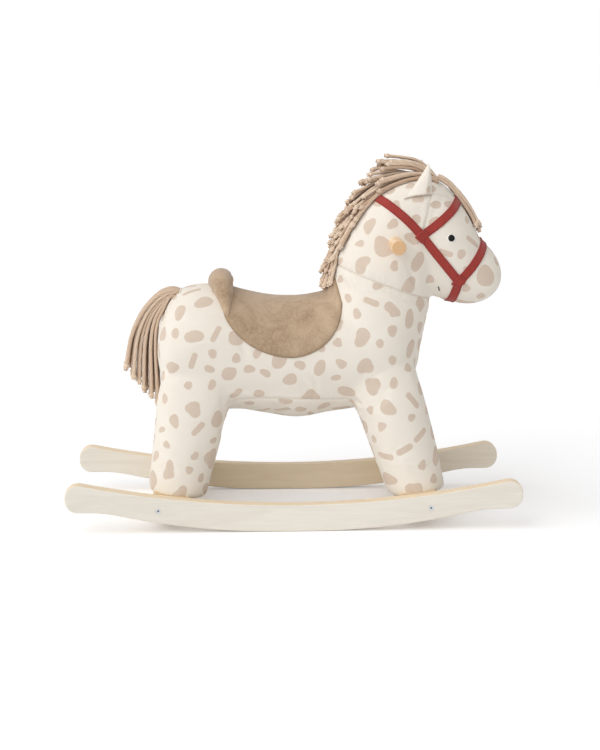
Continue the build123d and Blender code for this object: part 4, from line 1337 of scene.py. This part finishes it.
def bolt_steel_material():
    """Zinc-plated steel, with painted shade inside the sockets of the bolt heads."""
    points = coords(nodes["rocker_bolts"])
    outer = np.abs(points[:, 1]).max()
    heads = points[(np.abs(points[:, 1]) > outer - 0.3) & (points[:, 0] > 0)]
    x, z = (heads[:, [0, 2]].min(axis=0) + heads[:, [0, 2]].max(axis=0)) / 2 * MM
    s = Shader("bolt_steel")
    split = s.put("ShaderNodeSeparateXYZ", {"Vector": s.coord})
    along = s.math("SUBTRACT", s.math("ABSOLUTE", split.outputs["X"]), x)
    up = s.math("SUBTRACT", split.outputs["Z"], z)
    radius = s.math("SQRT", s.math("ADD", s.math("MULTIPLY", along, along), s.math("MULTIPLY", up, up)))
    swirl = s.noise(900.0, 3.0)
    color = s.mix(swirl, srgb(222, 224, 226), srgb(240, 241, 243))
    # painted shade: dark inside each socket
    color = s.mix(s.span(radius, 0.0013, 0.0020, 1.0, 0.0), color, srgb(92, 108, 116))
    return s.finish(color, s.span(swirl, 0.3, 0.7, 0.28, 0.42), swirl, 0.05, 0.0002, Metallic=0.7)


# Wooden pieces and metal fixings keep their solids and get their finish
finishes = {
    "rocker_left": plywood, "rocker_right": plywood,
    "front_cross_rail": rail_birch, "rear_cross_rail": rail_birch,
    "locating_dowels": handle_birch,
    "seat_board": frame_timber, "neck_board": frame_timber,
    "leg_post_front_left": frame_timber, "leg_post_front_right": frame_timber,
    "leg_post_rear_left": frame_timber, "leg_post_rear_right": frame_timber,
    "rocker_bolts": bolt_steel_material(), "barrel_nuts": steel, "leg_screws": steel,
    "seat_board_screws": steel, "neck_brackets": steel, "bracket_screws": steel, "handle_pin": steel,
}
for name, material in finishes.items():
    mesh = nodes[name].data
    mesh.materials.clear()
    mesh.materials.append(material)


# Floor, lights and world
def make_stage():
    bpy.ops.mesh.primitive_plane_add(size=60.0, location=(0, 0, -0.0004))
    floor = bpy.context.object
    floor.name = "studio_floor"
    mat = bpy.data.materials.new("studio_floor")
    mat.use_nodes = True
    tree = mat.node_tree
    bsdf = tree.nodes["Principled BSDF"]
    bsdf.inputs["Base Color"].default_value = (0.94, 0.955, 0.985, 1)
    bsdf.inputs["Roughness"].default_value = 0.9
    bsdf.inputs["Specular IOR Level"].default_value = 0.0
    path = tree.nodes.new("ShaderNodeLightPath")
    lift = tree.nodes.new("ShaderNodeMath")
    lift.operation = "MULTIPLY"
    lift.inputs[1].default_value = 0.21
    tree.links.new(path.outputs["Is Camera Ray"], lift.inputs[0])
    bsdf.inputs["Emission Color"].default_value = (1, 1, 1, 1)
    tree.links.new(lift.outputs[0], bsdf.inputs["Emission Strength"])
    floor.data.materials.append(mat)
    world = bpy.data.worlds.new("studio")
    world.use_nodes = True
    tree = world.node_tree
    background = tree.nodes["Background"]
    path = tree.nodes.new("ShaderNodeLightPath")
    seen = tree.nodes.new("ShaderNodeMath")
    seen.operation = "MAXIMUM"
    tree.links.new(path.outputs["Is Camera Ray"], seen.inputs[0])
    tree.links.new(path.outputs["Is Glossy Ray"], seen.inputs[1])
    level = tree.nodes.new("ShaderNodeMapRange")
    level.inputs["To Min"].default_value = 0.52
    level.inputs["To Max"].default_value = 1.0
    tree.links.new(seen.outputs[0], level.inputs["Value"])
    tree.links.new(level.outputs["Result"], background.inputs["Strength"])
    tint = tree.nodes.new("ShaderNodeMix")
    tint.data_type = "RGBA"
    tint.inputs[6].default_value = (1.0, 0.97, 0.93, 1)
    tint.inputs[7].default_value = (1, 1, 1, 1)
    tree.links.new(seen.outputs[0], tint.inputs[0])
    tree.links.new(tint.outputs[2], background.inputs["Color"])
    scene.world = world
    # name, strength, angular size in degrees and direction of each lamp
    lamps = (("key", 1.50, 60, (0.95, 0.46, -1.0)), ("fill", 0.45, 70, (0.45, 1.0, -0.12)))
    for name, energy, width, toward in lamps:
        data = bpy.data.lights.new(name, "SUN")
        data.energy = energy
        data.angle = math.radians(width)
        lamp = bpy.data.objects.new(name, data)
        scene.collection.objects.link(lamp)
        lamp.rotation_euler = Vector(toward).to_track_quat("-Z", "Y").to_euler()


make_stage()
